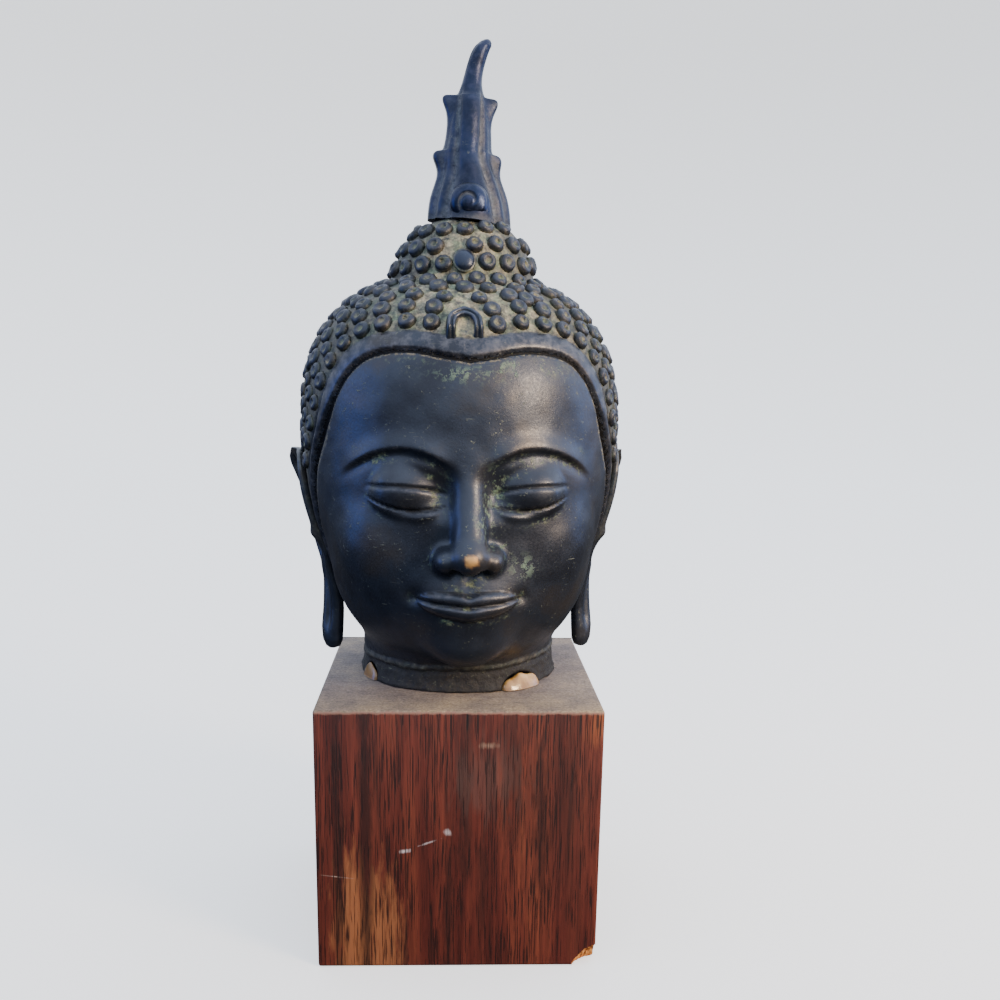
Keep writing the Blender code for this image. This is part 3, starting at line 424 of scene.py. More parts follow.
# %% Shaping a ball
def shaped_ball(name, segments, rings, place, mirrored=False):
    """A ball with every point moved to place(round, down). Round 0 is the front, down 0 the top."""
    bpy.ops.mesh.primitive_uv_sphere_add(segments=segments, ring_count=rings, radius=1)
    piece = bpy.context.object
    piece.name = piece.data.name = name
    co = np.empty(len(piece.data.vertices) * 3)
    piece.data.vertices.foreach_get("co", co)
    x, y, z = co.reshape(-1, 3).T
    way_round = np.round(np.arctan2(x, -y) / (2 * math.pi) * segments) % segments / segments
    way_down = np.round(np.arctan2(np.hypot(x, y), z) / math.pi * rings) / rings
    points = np.asarray(place(way_round, way_down), float)
    piece.data.vertices.foreach_set("co", points[:, :3].ravel())
    if mirrored:
        piece.data.flip_normals()
    piece.data.shade_smooth()
    piece.select_set(False)
    return piece, points


def paint(piece, **shares):
    """Keeps numbers for each point under the names given, for the materials to read."""
    for name, values in shares.items():
        layer = piece.data.attributes.new(name, "FLOAT", "POINT")
        layer.data.foreach_set("value", np.asarray(values, np.float32))


def stands_for(piece, node, slot, *materials):
    """Gives a piece its finish, and lets it stand for a node of the frame."""
    for material in materials:
        piece.data.materials.append(material)
    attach(piece, "root")
    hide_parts(node)
    print(piece.name, len(piece.data.vertices), "points, stands for", node)


def on_grid(piece):
    """Takes a piece from the head's grid to its place on the block."""
    piece.data.transform(TO_WORLD)
    piece.data.update()


print("a ball of 12 columns and 6 rings has", 12 * (6 - 1) + 2, "points")

# %% [markdown]
# ## Colours and nodes
# A colour is read off the object as a screen value, and the shader wants it linear, so one function
# turns it. Another adds one node, with its settings and whatever feeds it.


# %% Colours and nodes
def linear(code):
    """The shader's colour for a screen colour such as 2A2C31."""
    parts = [int(code[i : i + 2], 16) / 255 for i in (0, 2, 4)]
    return (*(c / 12.92 if c <= 0.04045 else ((c + 0.055) / 1.055) ** 2.4 for c in parts), 1.0)


def add(tree, kind, feeds=(), out=0, stops=(), **settings):
    """Adds one node and gives back one of its outputs. Feeds are values, or outputs of other nodes."""
    made = tree.nodes.new("ShaderNode" + kind)
    for name, value in settings.items():
        setattr(made, name, value)
    for socket, value in dict(feeds).items():
        if isinstance(value, bpy.types.NodeSocket):
            tree.links.new(value, made.inputs[socket])
        else:
            made.inputs[socket].default_value = value
    for i, (at, colour) in enumerate(stops):
        elements = made.color_ramp.elements
        stop = elements[i] if i < 2 else elements.new(at)
        stop.position, stop.color = at, linear(colour)
    return made.outputs[out]


def new_material(name):
    """An empty finish: its node tree, and its shader's inputs."""
    material = bpy.data.materials.new(name)
    material.use_nodes = True
    return material, material.node_tree, material.node_tree.nodes["Principled BSDF"].inputs


print("mid grey is", round(linear("808080")[0], 3))

# %% [markdown]
# ## Black-brown patina on cast bronze
# Old lost-wax bronze, patinated nearly black and handled for years. It gives the eye three things: a
# satin sheen that picks up cool sky on one side and warm light on the other, pale green-grey
# earth left wherever a cloth can't reach, and bare brown metal along the ridges that hands touch.
# The points of each piece carry those places as numbers, and fine noise breaks them up. Shade is painted
# too: near black in deep hollows, round the curls' feet, in the volute's coil and at the flame's foot,
# and in the cut beside the band, where it lies over black dirt. First come the shares of all finishes,
# from a table of noise, and then the metal, on which they are laid one by one.

# %% Where each finish lies on the bronze
# The place across the cut is kept with this added, so that a piece without that number is far from it
CUT_ZERO = 10.0
SCRATCH_LENGTH, SCRATCH_WIDTH = 6, 0.5
# dark carries painted shade: darker colour in hollows, at the curls' feet and in the flame's and volute's
# shadowed places
POINT_SHARES = ("dirt", "ridge", "rough", "hollow", "bare", "dark", "beside_cut", "crusted")
# Noise by its size in millimetres, detail and roughness
BRONZE_NOISE = {
    "blotch": (21.0, 4, 0.5), "grain": (0.8, 5, 0.6), "pits": (1.7, 4, 0.7), "rub": (3.2, 4, 0.7),
    "green": (2.6, 5, 0.75), "region": (15.0, 2, 0.5), "green_tone": (1.8, 4, 0.5), "torn": (1.1, 4, 0.7),
    "flakes": (1.6, 5, 0.75), "earth": (2.6, 6, 0.7), "soil_tone": (4.5, 4, 0.65),
    "specks": (1.3, 4, 0.7), "field": (8.0, 4, 0.6),
}
# What some of it becomes: from two of its values to two shares
BRONZE_SPANS = {
    "rub": (0.44, 0.70, 0, 1), "green": (0.50, 0.66, 0, 1), "region": (0.46, 0.60, 0, 1),
    "torn": (0.3, 0.7, -0.45, 0.45), "flakes": (0.46, 0.62, 0, 1), "earth": (0.36, 0.60, 0.12, 1),
    "specks": (0.61, 0.72, 0, 1),
}


def bronze_shares(tree, coords, speckle):
    """Outputs by name: the numbers of the points, noise, and how much of each finish lies there."""
    mm = add(tree, "Mapping", {"Vector": coords, "Scale": (1000, 1000, 1000)})
    of = {name: add(tree, "Attribute", out="Fac", attribute_name=name) for name in POINT_SHARES}
    for name, (size, detail, roughness) in BRONZE_NOISE.items():
        feeds = {"Vector": mm, "Scale": 1 / size, "Detail": detail, "Roughness": roughness}
        of[name] = add(tree, "TexNoise", feeds)
    for name, (low, high, least, most) in BRONZE_SPANS.items():
        feeds = {"Value": of[name], "From Min": low, "From Max": high, "To Min": least, "To Max": most}
        of[name] = add(tree, "MapRange", feeds)

    # rubbed ridges, verdigris in patches of the hollows, and earth in the low places
    of["worn"] = add(tree, "Math", {0: of["ridge"], 1: of["rub"]}, operation="MULTIPLY", use_clamp=True)
    green = add(tree, "Math", {0: of["hollow"], 1: of["green"]}, operation="MULTIPLY")
    of["verdigris"] = add(tree, "Math", {0: green, 1: of["region"]}, operation="MULTIPLY", use_clamp=True)
    of["soil_and_shade"] = add(tree, "Math", {0: of["dirt"], 1: of["earth"]}, operation="MULTIPLY", use_clamp=True)
    of["brown"] = add(tree, "Math", {0: of["rough"], 1: 0.8}, operation="MULTIPLY", use_clamp=True)

    # the cut beside the band, painted black as its shade over the black dirt in it, kept as half widths
    # from its middle, and crust along its inner side
    beside = add(tree, "Math", {0: of["beside_cut"], 1: CUT_ZERO}, operation="SUBTRACT")
    wavy = add(tree, "Math", {0: beside, 1: of["torn"]}, operation="ADD")
    away = add(tree, "Math", {0: wavy}, operation="ABSOLUTE")
    of["in_cut"] = add(tree, "MapRange", {"Value": away, "From Min": 1.0, "From Max": 0.65})
    # painted shade: near black in the hollows and in the cut, which also holds black dirt
    of["shade_and_dirt_black"] = add(tree, "Math", {0: of["dark"], 1: of["in_cut"]}, operation="MAXIMUM", use_clamp=True)
    beyond = add(tree, "Math", {0: wavy, 1: 1.9}, operation="ADD")
    beyond = add(tree, "Math", {0: beyond}, operation="ABSOLUTE")
    crust = add(tree, "MapRange", {"Value": beyond, "From Min": 1.0, "From Max": 0.3})
    of["crust"] = add(tree, "Math", {0: crust, 1: of["flakes"]}, operation="MULTIPLY", use_clamp=True)
    feeds = {"Value": of["green"], "From Min": 0.05, "From Max": 0.5, "To Max": 0.75}
    flakes = add(tree, "MapRange", feeds)
    of["scab"] = add(tree, "Math", {0: of["crusted"], 1: flakes}, operation="MULTIPLY", use_clamp=True)

    # short level scratches and small pale specks, more of them in some fields and on rough metal
    size = (1000 / SCRATCH_LENGTH, 1000 / SCRATCH_LENGTH, 1000 / SCRATCH_WIDTH)
    level = add(tree, "Mapping", {"Vector": coords, "Scale": size})
    scratch = add(tree, "TexNoise", {"Vector": level, "Scale": 1.0, "Detail": 3.0})
    scratch = add(tree, "MapRange", {"Value": scratch, "From Min": 0.68, "From Max": 0.74, "To Max": 0.7})
    feeds = {"Value": of["field"], "From Min": 0.46, "From Max": 0.62, "To Max": speckle}
    field = add(tree, "MapRange", feeds)
    field = add(tree, "Math", {0: of["rough"], 1: 0.35, 2: field}, operation="MULTIPLY_ADD")
    specks = add(tree, "Math", {0: of["specks"], 1: scratch}, operation="MAXIMUM")
    of["speck"] = add(tree, "Math", {0: specks, 1: field}, operation="MULTIPLY", use_clamp=True)
    return of


print(len(BRONZE_NOISE), "kinds of noise on the bronze")

# %% Cast bronze
METAL_SHARE = 0.6
# SHADE_AND_DIRT_BLACK is the near black of painted shade, and of the black dirt in the cut
CRUST, SCAB, SHADE_AND_DIRT_BLACK = "6B6552", "5F7561", "07080A"
ROUGH_BROWN, SPECK, BARE = "1D1917", "6E7460", "C79B62"


def cast_bronze(name, body, earth, worn, sheen, speckle, metal_share=METAL_SHARE):
    """Cast bronze: three patina colours, two earth colours and one of rubbed metal, with near-black
    painted shade.
    """
    material, tree, shader = new_material(name)
    of = bronze_shares(tree, add(tree, "TexCoord", out="Object"), speckle)
    green = add(tree, "ValToRGB", {0: of["green_tone"]}, stops=((0.4, "3F5A45"), (0.6, "6A7354")))
    soil_and_shade = add(tree, "ValToRGB", {0: of["soil_tone"]}, stops=((0.40, earth[0]), (0.62, earth[1])))
    feeds = {"Value": of["grain"], "From Min": 0.40, "From Max": 0.62, "To Min": 0.72, "To Max": 1.15}
    crumbs = add(tree, "MapRange", feeds)
    soil_and_shade = add(tree, "Mix", {0: 1.0, 6: soil_and_shade, 7: crumbs}, out=2, data_type="RGBA", blend_type="MULTIPLY")

    # the finishes lie over the patina one by one
    colour = add(tree, "ValToRGB", {0: of["blotch"]}, stops=zip((0.36, 0.52, 0.68), body))
    for share, finish in (
        ("worn", linear(worn)),
        ("verdigris", green),
        ("crust", linear(CRUST)),
        ("scab", linear(SCAB)),
        # painted shade in the hollows and the cut, near black
        ("shade_and_dirt_black", linear(SHADE_AND_DIRT_BLACK)),
        ("brown", linear(ROUGH_BROWN)),
        ("soil_and_shade", soil_and_shade),
        ("speck", linear(SPECK)),
        ("bare", linear(BARE)),
    ):
        colour = add(tree, "Mix", {0: of[share], 6: colour, 7: finish}, out=2, data_type="RGBA")

    # crust and earth aren't metal, and are matt
    crusted = add(tree, "Math", {0: of["crust"], 1: of["scab"]}, operation="MAXIMUM")
    covered = crusted
    for share in ("soil_and_shade", "verdigris", "speck"):
        covered = add(tree, "Math", {0: covered, 1: of[share]}, operation="MAXIMUM")
    metal = add(tree, "MapRange", {"Value": covered, "To Min": metal_share, "To Max": 0.0})
    feeds = {"Value": of["grain"], "From Min": 0.3, "From Max": 0.7}
    gloss = add(tree, "MapRange", feeds | {"To Min": sheen - 0.07, "To Max": sheen + 0.09})
    matt = add(tree, "Math", {0: of["rough"], 1: of["shade_and_dirt_black"]}, operation="MAXIMUM")
    gloss = add(tree, "Math", {0: matt, 1: 0.3, 2: gloss}, operation="MULTIPLY_ADD")
    gloss = add(tree, "Math", {0: covered, 1: 0.4, 2: gloss}, operation="MULTIPLY_ADD", use_clamp=True)

    # grain, crust, pits and the cut in relief
    rougher = add(tree, "Math", {0: of["rough"], 1: 0.12}, operation="ADD")
    pits = add(tree, "Math", {0: of["pits"], 1: rougher}, operation="MULTIPLY")
    height = 0.0
    for part, much in ((of["grain"], 0.35), (covered, 0.8), (pits, 5.0), (of["in_cut"], -3.0)):
        height = add(tree, "Math", {0: part, 1: much, 2: height}, operation="MULTIPLY_ADD")
    bump = add(tree, "Bump", {"Strength": 0.8, "Distance": 0.12 * MM, "Height": height})
    ends = (("Base Color", colour), ("Metallic", metal), ("Roughness", gloss), ("Normal", bump))
    for socket, value in ends:
        tree.links.new(value, shader[socket])
    return material


DARK_BRONZE = cast_bronze(
    "black_patina_cast_bronze",
    body=("22262F", "2D333E", "363537"), earth=("9A937C", "6F7A63"), worn="57575C",
    sheen=0.38, speckle=0.75,
)
HAIR_BRONZE = cast_bronze(
    "earthy_cast_bronze_curls",
    body=("1C2330", "262F40", "313036"), earth=("A39A7C", "778566"), worn="565C72",
    sheen=0.34, speckle=0.35,
)
FLAME_BRONZE = cast_bronze(
    "rubbed_cast_bronze_flame",
    body=("171F31", "1F2A42", "26293A"), earth=("62646A", "535A62"), worn="454860",
    sheen=0.33, speckle=0.35, metal_share=0.85,
)
print("bronze finishes:", DARK_BRONZE.name, HAIR_BRONZE.name, FLAME_BRONZE.name)

# %% [markdown]
# ## The head's skin
# The casting's neck, face and scalp are one skin. A ball with more columns at the front and more rings
# over the face is walked in onto the form. The numbers for the finish come from the same form: earth
# lies on the scalp, ridges and the band are rubbed, hollows of the face hold verdigris, the tip of the
# nose is bare, and the neck is rough. The deepest hollows of the face are given painted shade.

# %% The head's skin
AXIS_LOW, AXIS_HIGH, AXIS_REACH = 34.0, 100.0, 52.0
AXIS_SPAN = (AXIS_HIGH - AXIS_LOW) / AXIS_REACH
LOWEST = math.pi + AXIS_SPAN
RIM_TILT = math.atan2(NECK_RADII[0] + NECK_FLARE, -AXIS_LOW)
# Where the ball's columns and rings go: shares of the way, and the turn or tilt there
ROUND_KNOTS = (0, 0.33, 0.67, 1), (0, math.radians(80), math.radians(280), 2 * math.pi)
RIM_DOWN = AXIS_SPAN + RIM_TILT
DOWN_KNOTS = (0, 0.15, 0.955, 0.985, 1), (0, 1.0, RIM_DOWN - 0.02, RIM_DOWN + 0.05, LOWEST)


def surface_points(down, turn):
    """Points of the skin by the way down an upright axis and the turn from straight ahead."""
    beside = np.clip(down - math.pi / 2, 0, AXIS_SPAN)
    tilt = down - beside
    turn = turn * np.ones_like(down)
    starts = np.column_stack([0 * beside, 0 * beside, AXIS_HIGH - AXIS_REACH * beside])
    flat = np.sin(tilt)
    return walk_in(starts, np.column_stack([flat * np.sin(turn), -flat * np.cos(turn), np.cos(tilt)]))


def skin_place(way_round, way_down):
    """Columns crowd at the front, rings over the face and at the neck's rim."""
    turn = np.interp(way_round, *ROUND_KNOTS)
    return surface_points(np.interp(way_down, *DOWN_KNOTS), turn)


def uneven(points, size, depth):
    """A slow wander of the cast surface, in and out."""
    return depth * np.array([noise.noise(Vector(p) / size) for p in points])


skin, skin_points = shaped_ball("head_skin", 364, 270, skin_place)
print("skin", len(skin_points), "points")

# %% What lies on the skin
NOSE_TIP = (0, -66.4, 53.6)
RING_SPOT, RING_REACH = (12.5, 113.5), 2.6
# Patches of green crust: place across and up, half width and half height
GREEN_CRUSTS = ((-3, 112, 8, 2.2), (8.5, 74, 3, 8), (19, 49, 4, 3.5), (5, 66, 2.5, 6))
CHEEK_LIMIT, JAW_LIMIT = (-20, -34), (14, 22)

x, y, z = skin_points.T
bend, wide_bend = bending(skin_points), bending(skin_points, 3.0)
across, band_turn, band_half, band_cut, cut_half = band_lines(skin_points)
inside_cut = across - band_cut

# regions: scalp, band, face and the neck's rough foot
scalp = ramp(2.6, 3.8, across) * ramp(NAPE_HEIGHT - 3, NAPE_HEIGHT + 1, z)
band_shown = ramp(*BAND_FADES, band_turn) * (y < 12)
on_band = ramp(0.1, -0.7, np.abs(across) - band_half) * band_shown
on_face = ramp(-1, -3, inside_cut) * ramp(*CHEEK_LIMIT, y) * ramp(*JAW_LIMIT, z)
at_front = on_face * (y < -30)
neck_rough = ramp(16, 6, z)

# finishes: pale earth on the scalp, thick over the forehead, flecks by the neck's crease, verdigris
face_turn = np.degrees(np.abs(np.arctan2(x, -y)))
scalp_earth = scalp * (0.30 + 0.70 * ramp(62, 20, face_turn) * ramp(100, 122, z))
neck_flecks = 0.20 * hump(above_crease(skin_points) - 2.0, 1.2) + 0.04 * neck_rough
verdigris = ramp(-0.01, -0.10, wide_bend) * on_face * ramp(92, 84, z) + 0.45 * hump(z - 116, 5) * at_front
crusted = hump(np.hypot(x - RING_SPOT[0], z - RING_SPOT[1]) - RING_REACH, 0.9)
for middle, height, wide, high in GREEN_CRUSTS:
    crusted += hump(np.hypot((x - middle) / wide, (z - height) / high), 1.0)
from_nose_tip = np.linalg.norm(skin_points - NOSE_TIP, axis=1) + uneven(skin_points, 1.2, 1.0)
paint(
    skin,
    dirt=np.clip(scalp_earth + neck_flecks, 0, 1),
    ridge=np.clip(0.5 * ramp(0.35, 0.9, bend) * (1 - scalp) + 0.8 * on_band, 0, 1),
    beside_cut=(np.clip(inside_cut / cut_half, -9, 9) + CUT_ZERO) * band_shown,
    hollow=np.clip(verdigris, 0, 1),
    crusted=np.clip(crusted * at_front, 0, 1),
    # painted shade: the deepest hollows of the face are darkened
    dark=np.clip(0.7 * ramp(-0.6, -1.4, bend) * on_face * ramp(-4, -7, inside_cut), 0, 1),
    bare=ramp(2.6, 1.0, from_nose_tip),
    rough=np.clip(neck_rough + 0.6 * scalp, 0, 1),
)
lift = uneven(skin_points, 6.0, 0.14) + uneven(skin_points, 2.2, 0.12) * (2.2 * neck_rough + scalp)
skin_points += outward(skin_points) * lift[:, None]
skin.data.vertices.foreach_set("co", skin_points.ravel())
on_grid(skin)
stands_for(skin, "head", "bronze", DARK_BRONZE)

# %% [markdown]
# ## Where the curls sit
# The snail curls were set in wax one beside the other: rows along the band first, then rings over the
# scalp, each pressed aside by its neighbours. The places are found in the same way: rows are laid out,
# then eased apart and pulled back to the surface.

# %% Places of the curls
CURL_SPACING = 8.0
ALONG_BAND = 7.7
# Rows along the band: how far from the middle each starts, and how far the middle lies to the left
ROW_STARTS, ROW_MIDDLE = (9.5, 7.6, 4.25), -1.45
ROW_OFFSETS = tuple(BAND_HALF_WIDTH + (0.45 + 0.84 * row) * CURL_SPACING for row in range(3))
BAND_REACH, SAMPLES = 62, 400
NICHE_FOOT, NICHE_HALF_WIDTH, NICHE_HEIGHT = 122.8, 5.9, 11.0
BOSS_X, BOSS_HEIGHT, BOSS_RADII = -0.4, 149.6, (3.5, 3.9, 2.1)
# The ears cover the hair from this far out, between these depths and heights
EAR_COVER_OUT, EAR_COVER_DEPTH, EAR_COVER_HEIGHT = 30, (-10, 12), (10, 84)


def front_points(x, z):
    """Points of the head at given places seen from straight ahead."""
    starts = np.column_stack([x, 0 * x, z])
    return walk_in(starts, np.tile([0.0, -1.0, 0.0], (len(x), 1)))


def settle(points):
    """Slides points near the surface onto it by the shortest way."""
    for _ in range(4):
        points = points - 0.9 * head_form(points)[:, None] * outward(points)
    return points


def band_row(offset, start):
    """Points beside the band's middle at an offset, evenly spaced both ways from near the front."""
    turns = np.linspace(0, 138, SAMPLES)
    away = np.interp(turns, BAND_TURN, BAND_AWAY)
    for step in range(5):
        a, around = np.radians(away), np.radians(90 - turns)
        rays = np.column_stack([np.sin(a) * np.cos(around), -np.cos(a), np.sin(a) * np.sin(around)])
        points = walk_in(np.tile(BAND_CENTRE, (SAMPLES, 1)), rays)
        if step == 0:
            steps = np.linalg.norm(np.diff(points, axis=0), axis=1)
        away = away + np.degrees((offset - band_distance(points)[0]) / BAND_REACH)
    length = np.concatenate([[0], np.cumsum(steps)])
    sides = []
    for way in (-1, 1):
        at = np.arange(start + way * ROW_MIDDLE, length[-1], ALONG_BAND)
        side = np.column_stack([np.interp(at, length, points[:, i]) for i in range(3)])
        sides.append(side * [way, 1, 1])
    return np.vstack([sides[0][::-1], sides[1]])


def ring_rows(spacing):
    """Rings of points from below the flame's seat down to the nape."""
    down = np.linspace(0.002, LOWEST - 0.7, SAMPLES)
    profile = surface_points(down, np.full(SAMPLES, math.pi / 2))
    length = np.concatenate([[0], np.cumsum(np.linalg.norm(np.diff(profile, axis=0), axis=1))])
    first = length[profile[:, 2] < SEAT_HEIGHT - 2.6][0]
    last = length[profile[:, 2] < NAPE_HEIGHT][0]
    rows = []
    for k, at in enumerate(np.arange(first, last, spacing * 0.87)):
        around = np.interp(at, length, np.hypot(profile[:, 0], profile[:, 1]))
        count = max(3, round(2 * math.pi * around / spacing))
        turn = (np.arange(count) + 0.5 * (k % 2)) * 2 * math.pi / count
        rows.append(surface_points(np.full(count, np.interp(at, length, down)), turn))
    return np.vstack(rows)


def in_hair(points, margin):
    """True where a curl may sit: in the hair, below the flame, clear of ears, niche and boss."""
    x, y, z = points.T
    half, near = NICHE_HEIGHT / 2, 0.15 * CURL_SPACING
    niche = np.hypot((x - NICHE_X) / (NICHE_HALF_WIDTH + near), (z - NICHE_FOOT - half) / (half + near))
    wide, high = BOSS_RADII[0] + 0.28 * CURL_SPACING, BOSS_RADII[1] + 0.24 * CURL_SPACING
    boss = np.hypot((x - BOSS_X) / wide, (z - BOSS_HEIGHT) / high)
    (front, back), (foot, top) = EAR_COVER_DEPTH, EAR_COVER_HEIGHT
    behind_ear = (np.abs(x) > EAR_COVER_OUT) & (y > front) & (y < back) & (z > foot) & (z < top)
    seat = SEAT_HEIGHT - math.tan(SEAT_SLOPE) * (x - SEAT_X)
    at_ornament = (y < -15) & ((niche < 1) | (boss < 1))
    inside = band_distance(points)[0] > BAND_HALF_WIDTH + margin
    inside &= (z > NAPE_HEIGHT + 3) & (z < seat - 1)
    return inside & ~behind_ear & ~at_ornament


def ease_apart(free, fixed, rounds):
    """Presses free points aside until they and the fixed ones keep the curls' spacing."""
    for _ in range(rounds):
        apart = free[:, None] - np.vstack([fixed, free])[None]
        gap = np.linalg.norm(apart, axis=2) + 1e-6
        push = np.clip(CURL_SPACING * 0.98 - gap, 0, None) * (gap > 1e-3) / gap
        free = settle(free + 0.3 * (apart * push[:, :, None]).sum(axis=1))
        free = free[in_hair(free, 0.4 * CURL_SPACING)]
    return free


def fill_gaps(free, fixed):
    """Adds a point wherever there is room for one more curl."""
    spare = ring_rows(0.4 * CURL_SPACING)
    for p in spare[in_hair(spare, 0.4 * CURL_SPACING)]:
        if np.linalg.norm(np.vstack([fixed, free]) - p, axis=1).min() > 0.84 * CURL_SPACING:
            free = np.vstack([free, p])
    return free


def curl_places():
    """Rows along the band first, then rings eased apart between them, and none too crowded."""
    first = np.vstack([band_row(offset, start) for offset, start in zip(ROW_OFFSETS, ROW_STARTS)])
    first = first[in_hair(first, 0)]
    free = ring_rows(CURL_SPACING)
    free = free[in_hair(free, 0.45 * CURL_SPACING)]
    free = free[np.linalg.norm(free[:, None] - first[None], axis=2).min(axis=1) > 0.55 * CURL_SPACING]
    free = ease_apart(free, first, rounds=12)
    free = ease_apart(fill_gaps(free, first), first, rounds=8)
    everything = np.vstack([first, free])
    gap = np.linalg.norm(everything[:, None] - everything[None], axis=2)
    crowded = (gap < 0.62 * CURL_SPACING) & (np.arange(len(gap))[:, None] > np.arange(len(gap))[None])
    return everything[~crowded.any(axis=1)]


CURLS = curl_places()
CURL_NORMALS = outward(CURLS)
print(len(CURLS), "curls")

# %% [markdown]
# ## A snail curl
# Each curl is a button of wax with a coil pressed into its top: a raised rim that winds in to a
# dimple set off the middle. One is shaped with few faces, because hundreds of copies follow, and each
# copy is turned and sized a little differently, as fingers would leave them.

# %% A snail curl
CURL_RADIUS = 3.3
# Rings of a curl from its middle outward: share of the radius, and height
CURL_LEVELS = ((0, 1.1), (0.20, 1.05), (0.38, 1.8), (0.60, 2.0), (0.86, 1.35), (1.03, -0.5), (0, -1.4))
CURL_FOOT = 0.7
# How far the rim spreads and rises over one winding, and the dimple's place and radius, as shares
RIM_SPREAD, RIM_RISE, DIMPLE_OFF, DIMPLE_RADIUS = 0.12, 0.5, 0.16, 0.36


def curl_place(way_round, way_down):
    """The rim rises and spreads as it winds round, and the dimple lies off the middle."""
    level = np.round(way_down * (len(CURL_LEVELS) - 1)).astype(int)
    share, height = np.array(CURL_LEVELS)[level].T
    winding = (way_round - 0.5) * ((level > 0) & (level < 5))
    radius = CURL_RADIUS * (share + RIM_SPREAD * winding)
    height = height + RIM_RISE * winding * ((level > 1) & (level < 5))
    turn = 2 * math.pi * way_round
    off = DIMPLE_OFF * CURL_RADIUS * (level < 2)
    return np.column_stack([radius * np.sin(turn) + off, -radius * np.cos(turn), height])


curl, curl_points = shaped_ball("snail_curls", 12, len(CURL_LEVELS) - 1, curl_place)
curl_height = curl_points[:, 2]
in_dimple = np.linalg.norm(curl_points[:, :2], axis=1) < DIMPLE_RADIUS * CURL_RADIUS
at_foot = curl_height < CURL_FOOT
paint(
    curl,
    dirt=np.where(at_foot, 0.45, 0.04) + 0.6 * in_dimple,
    # painted shade at the curl's foot and in its dimple
    dark=0.35 * at_foot + 0.5 * in_dimple,
    ridge=0.4 * ramp(1.4, 2.1, curl_height),
    rough=np.full(len(curl_points), 0.35),
)
print("a curl has", len(curl.data.polygons), "faces")

# %% All the curls
chance = np.random.default_rng(7)
copies = []
for centre, normal in zip(CURLS, CURL_NORMALS):
    copy = curl.copy()
    copy.data = curl.data.copy()
    bpy.context.collection.objects.link(copy)
    upright = Vector(normal).to_track_quat("Z", "Y").to_matrix().to_4x4()
    size = chance.uniform(0.92, 1.05)
    # the ones at the sides are worn lower
    height = size * (1 - 0.25 * float(ramp(35, 52, abs(centre[0]))))
    spin = Matrix.Rotation(chance.uniform(-2.2, 2.2), 4, "Z")
    sized = Matrix.Diagonal((size, size, height, 1))
    copy.data.transform(Matrix.Translation(centre) @ upright @ spin @ sized)
    copies.append(copy)
bpy.data.objects.remove(curl)
for copy in copies:
    copy.select_set(True)
bpy.context.view_layer.objects.active = copies[0]
bpy.ops.object.join()
curls = bpy.context.object
curls.name = curls.data.name = "snail_curls"
curls.select_set(False)
on_grid(curls)
stands_for(curls, "head", "bronze", HAIR_BRONZE)

# %% [markdown]
# ## The niche and the boss
# A little pointed niche stands over the middle of the band, with a doubled rim and a hollow that opens
# onto the band. A smooth oval boss sits on the crown in a thin ring. Both lie on the slope of the
# head, so each is drawn flat and then laid on a frame that follows the surface.


# %% The niche and the boss
def seat_frame(x, height, over, below=0.0):
    """Lays a flat drawing on the head's front: x to the right, y up the surface, z outward.

    The surface's slope is taken over a few millimetres of height.
    """
    foot, head = (Vector(p) for p in front_points(np.array([x, x]), np.array([height, height + over])))
    up = (head - foot).normalized()
    place = Matrix((Vector((1, 0, 0)), up, Vector((1, 0, 0)).cross(up))).transposed().to_4x4()
    place.translation = foot - below * up
    return place


HOLLOW_HALF, HOLLOW_HEIGHT, NICHE_BURIED, NICHE_RIM = 2.8, 9.6, 3.0, 3.3
# From the hollow's middle outward: share of the hollow, width of rim added, height
NICHE_LEVELS = (
    (0, 0, 0.5), (0.5, 0, 0.5), (0.9, 0, 0.6), (1, 0, 1.3), (1, 0.25, 2.2), (1, 0.6, 2.8),
    (1, 0.95, 2.85), (1, 1.3, 2.4), (1, 1.5, 1.9), (1, 1.75, 2.4), (1, 2.1, 2.9), (1, 2.6, 2.8),
    (1, 3.0, 2.1), (1, 3.25, 0.9), (1, NICHE_RIM, -0.5), (1, NICHE_RIM, -3.0), (0, 0, -3.0),
)
# The arch from the middle of its foot to its point: share of the way, of half the width, of the height
ARCH_WAY = (0, 0.08, 0.46, 0.60, 0.73, 0.86, 0.95, 1)
ARCH_OUT = (0, 1, 1, 0.95, 0.78, 0.48, 0.19, 0)
ARCH_UP = (0, 0, 0.56, 0.74, 0.88, 0.965, 0.99, 1)


def niche_place(way_round, way_down):
    """Rings of the niche, drawn flat: half the arch by the way up, the other half mirrored."""
    level = np.round(way_down * (len(NICHE_LEVELS) - 1)).astype(int)
    share, extra, height = np.array(NICHE_LEVELS)[level].T
    way = np.minimum(way_round, 1 - way_round) * 2
    half = share * (HOLLOW_HALF + extra)
    top = share * (HOLLOW_HEIGHT + extra)
    point = 0.9 * extra / NICHE_RIM * hump(1 - way, 0.10)
    up = top * np.interp(way, ARCH_WAY, ARCH_UP) + point
    out = half * np.interp(way, ARCH_WAY, ARCH_OUT) * np.where(way_round > 0.5, -1, 1)
    # the foot sinks into the band
    sunk = ramp(NICHE_BURIED + 3.0, 0, up)
    height = height * np.where(height > 0.7, 1 - sunk, 1) - 2.4 * sunk
    return np.column_stack([out, up, height])


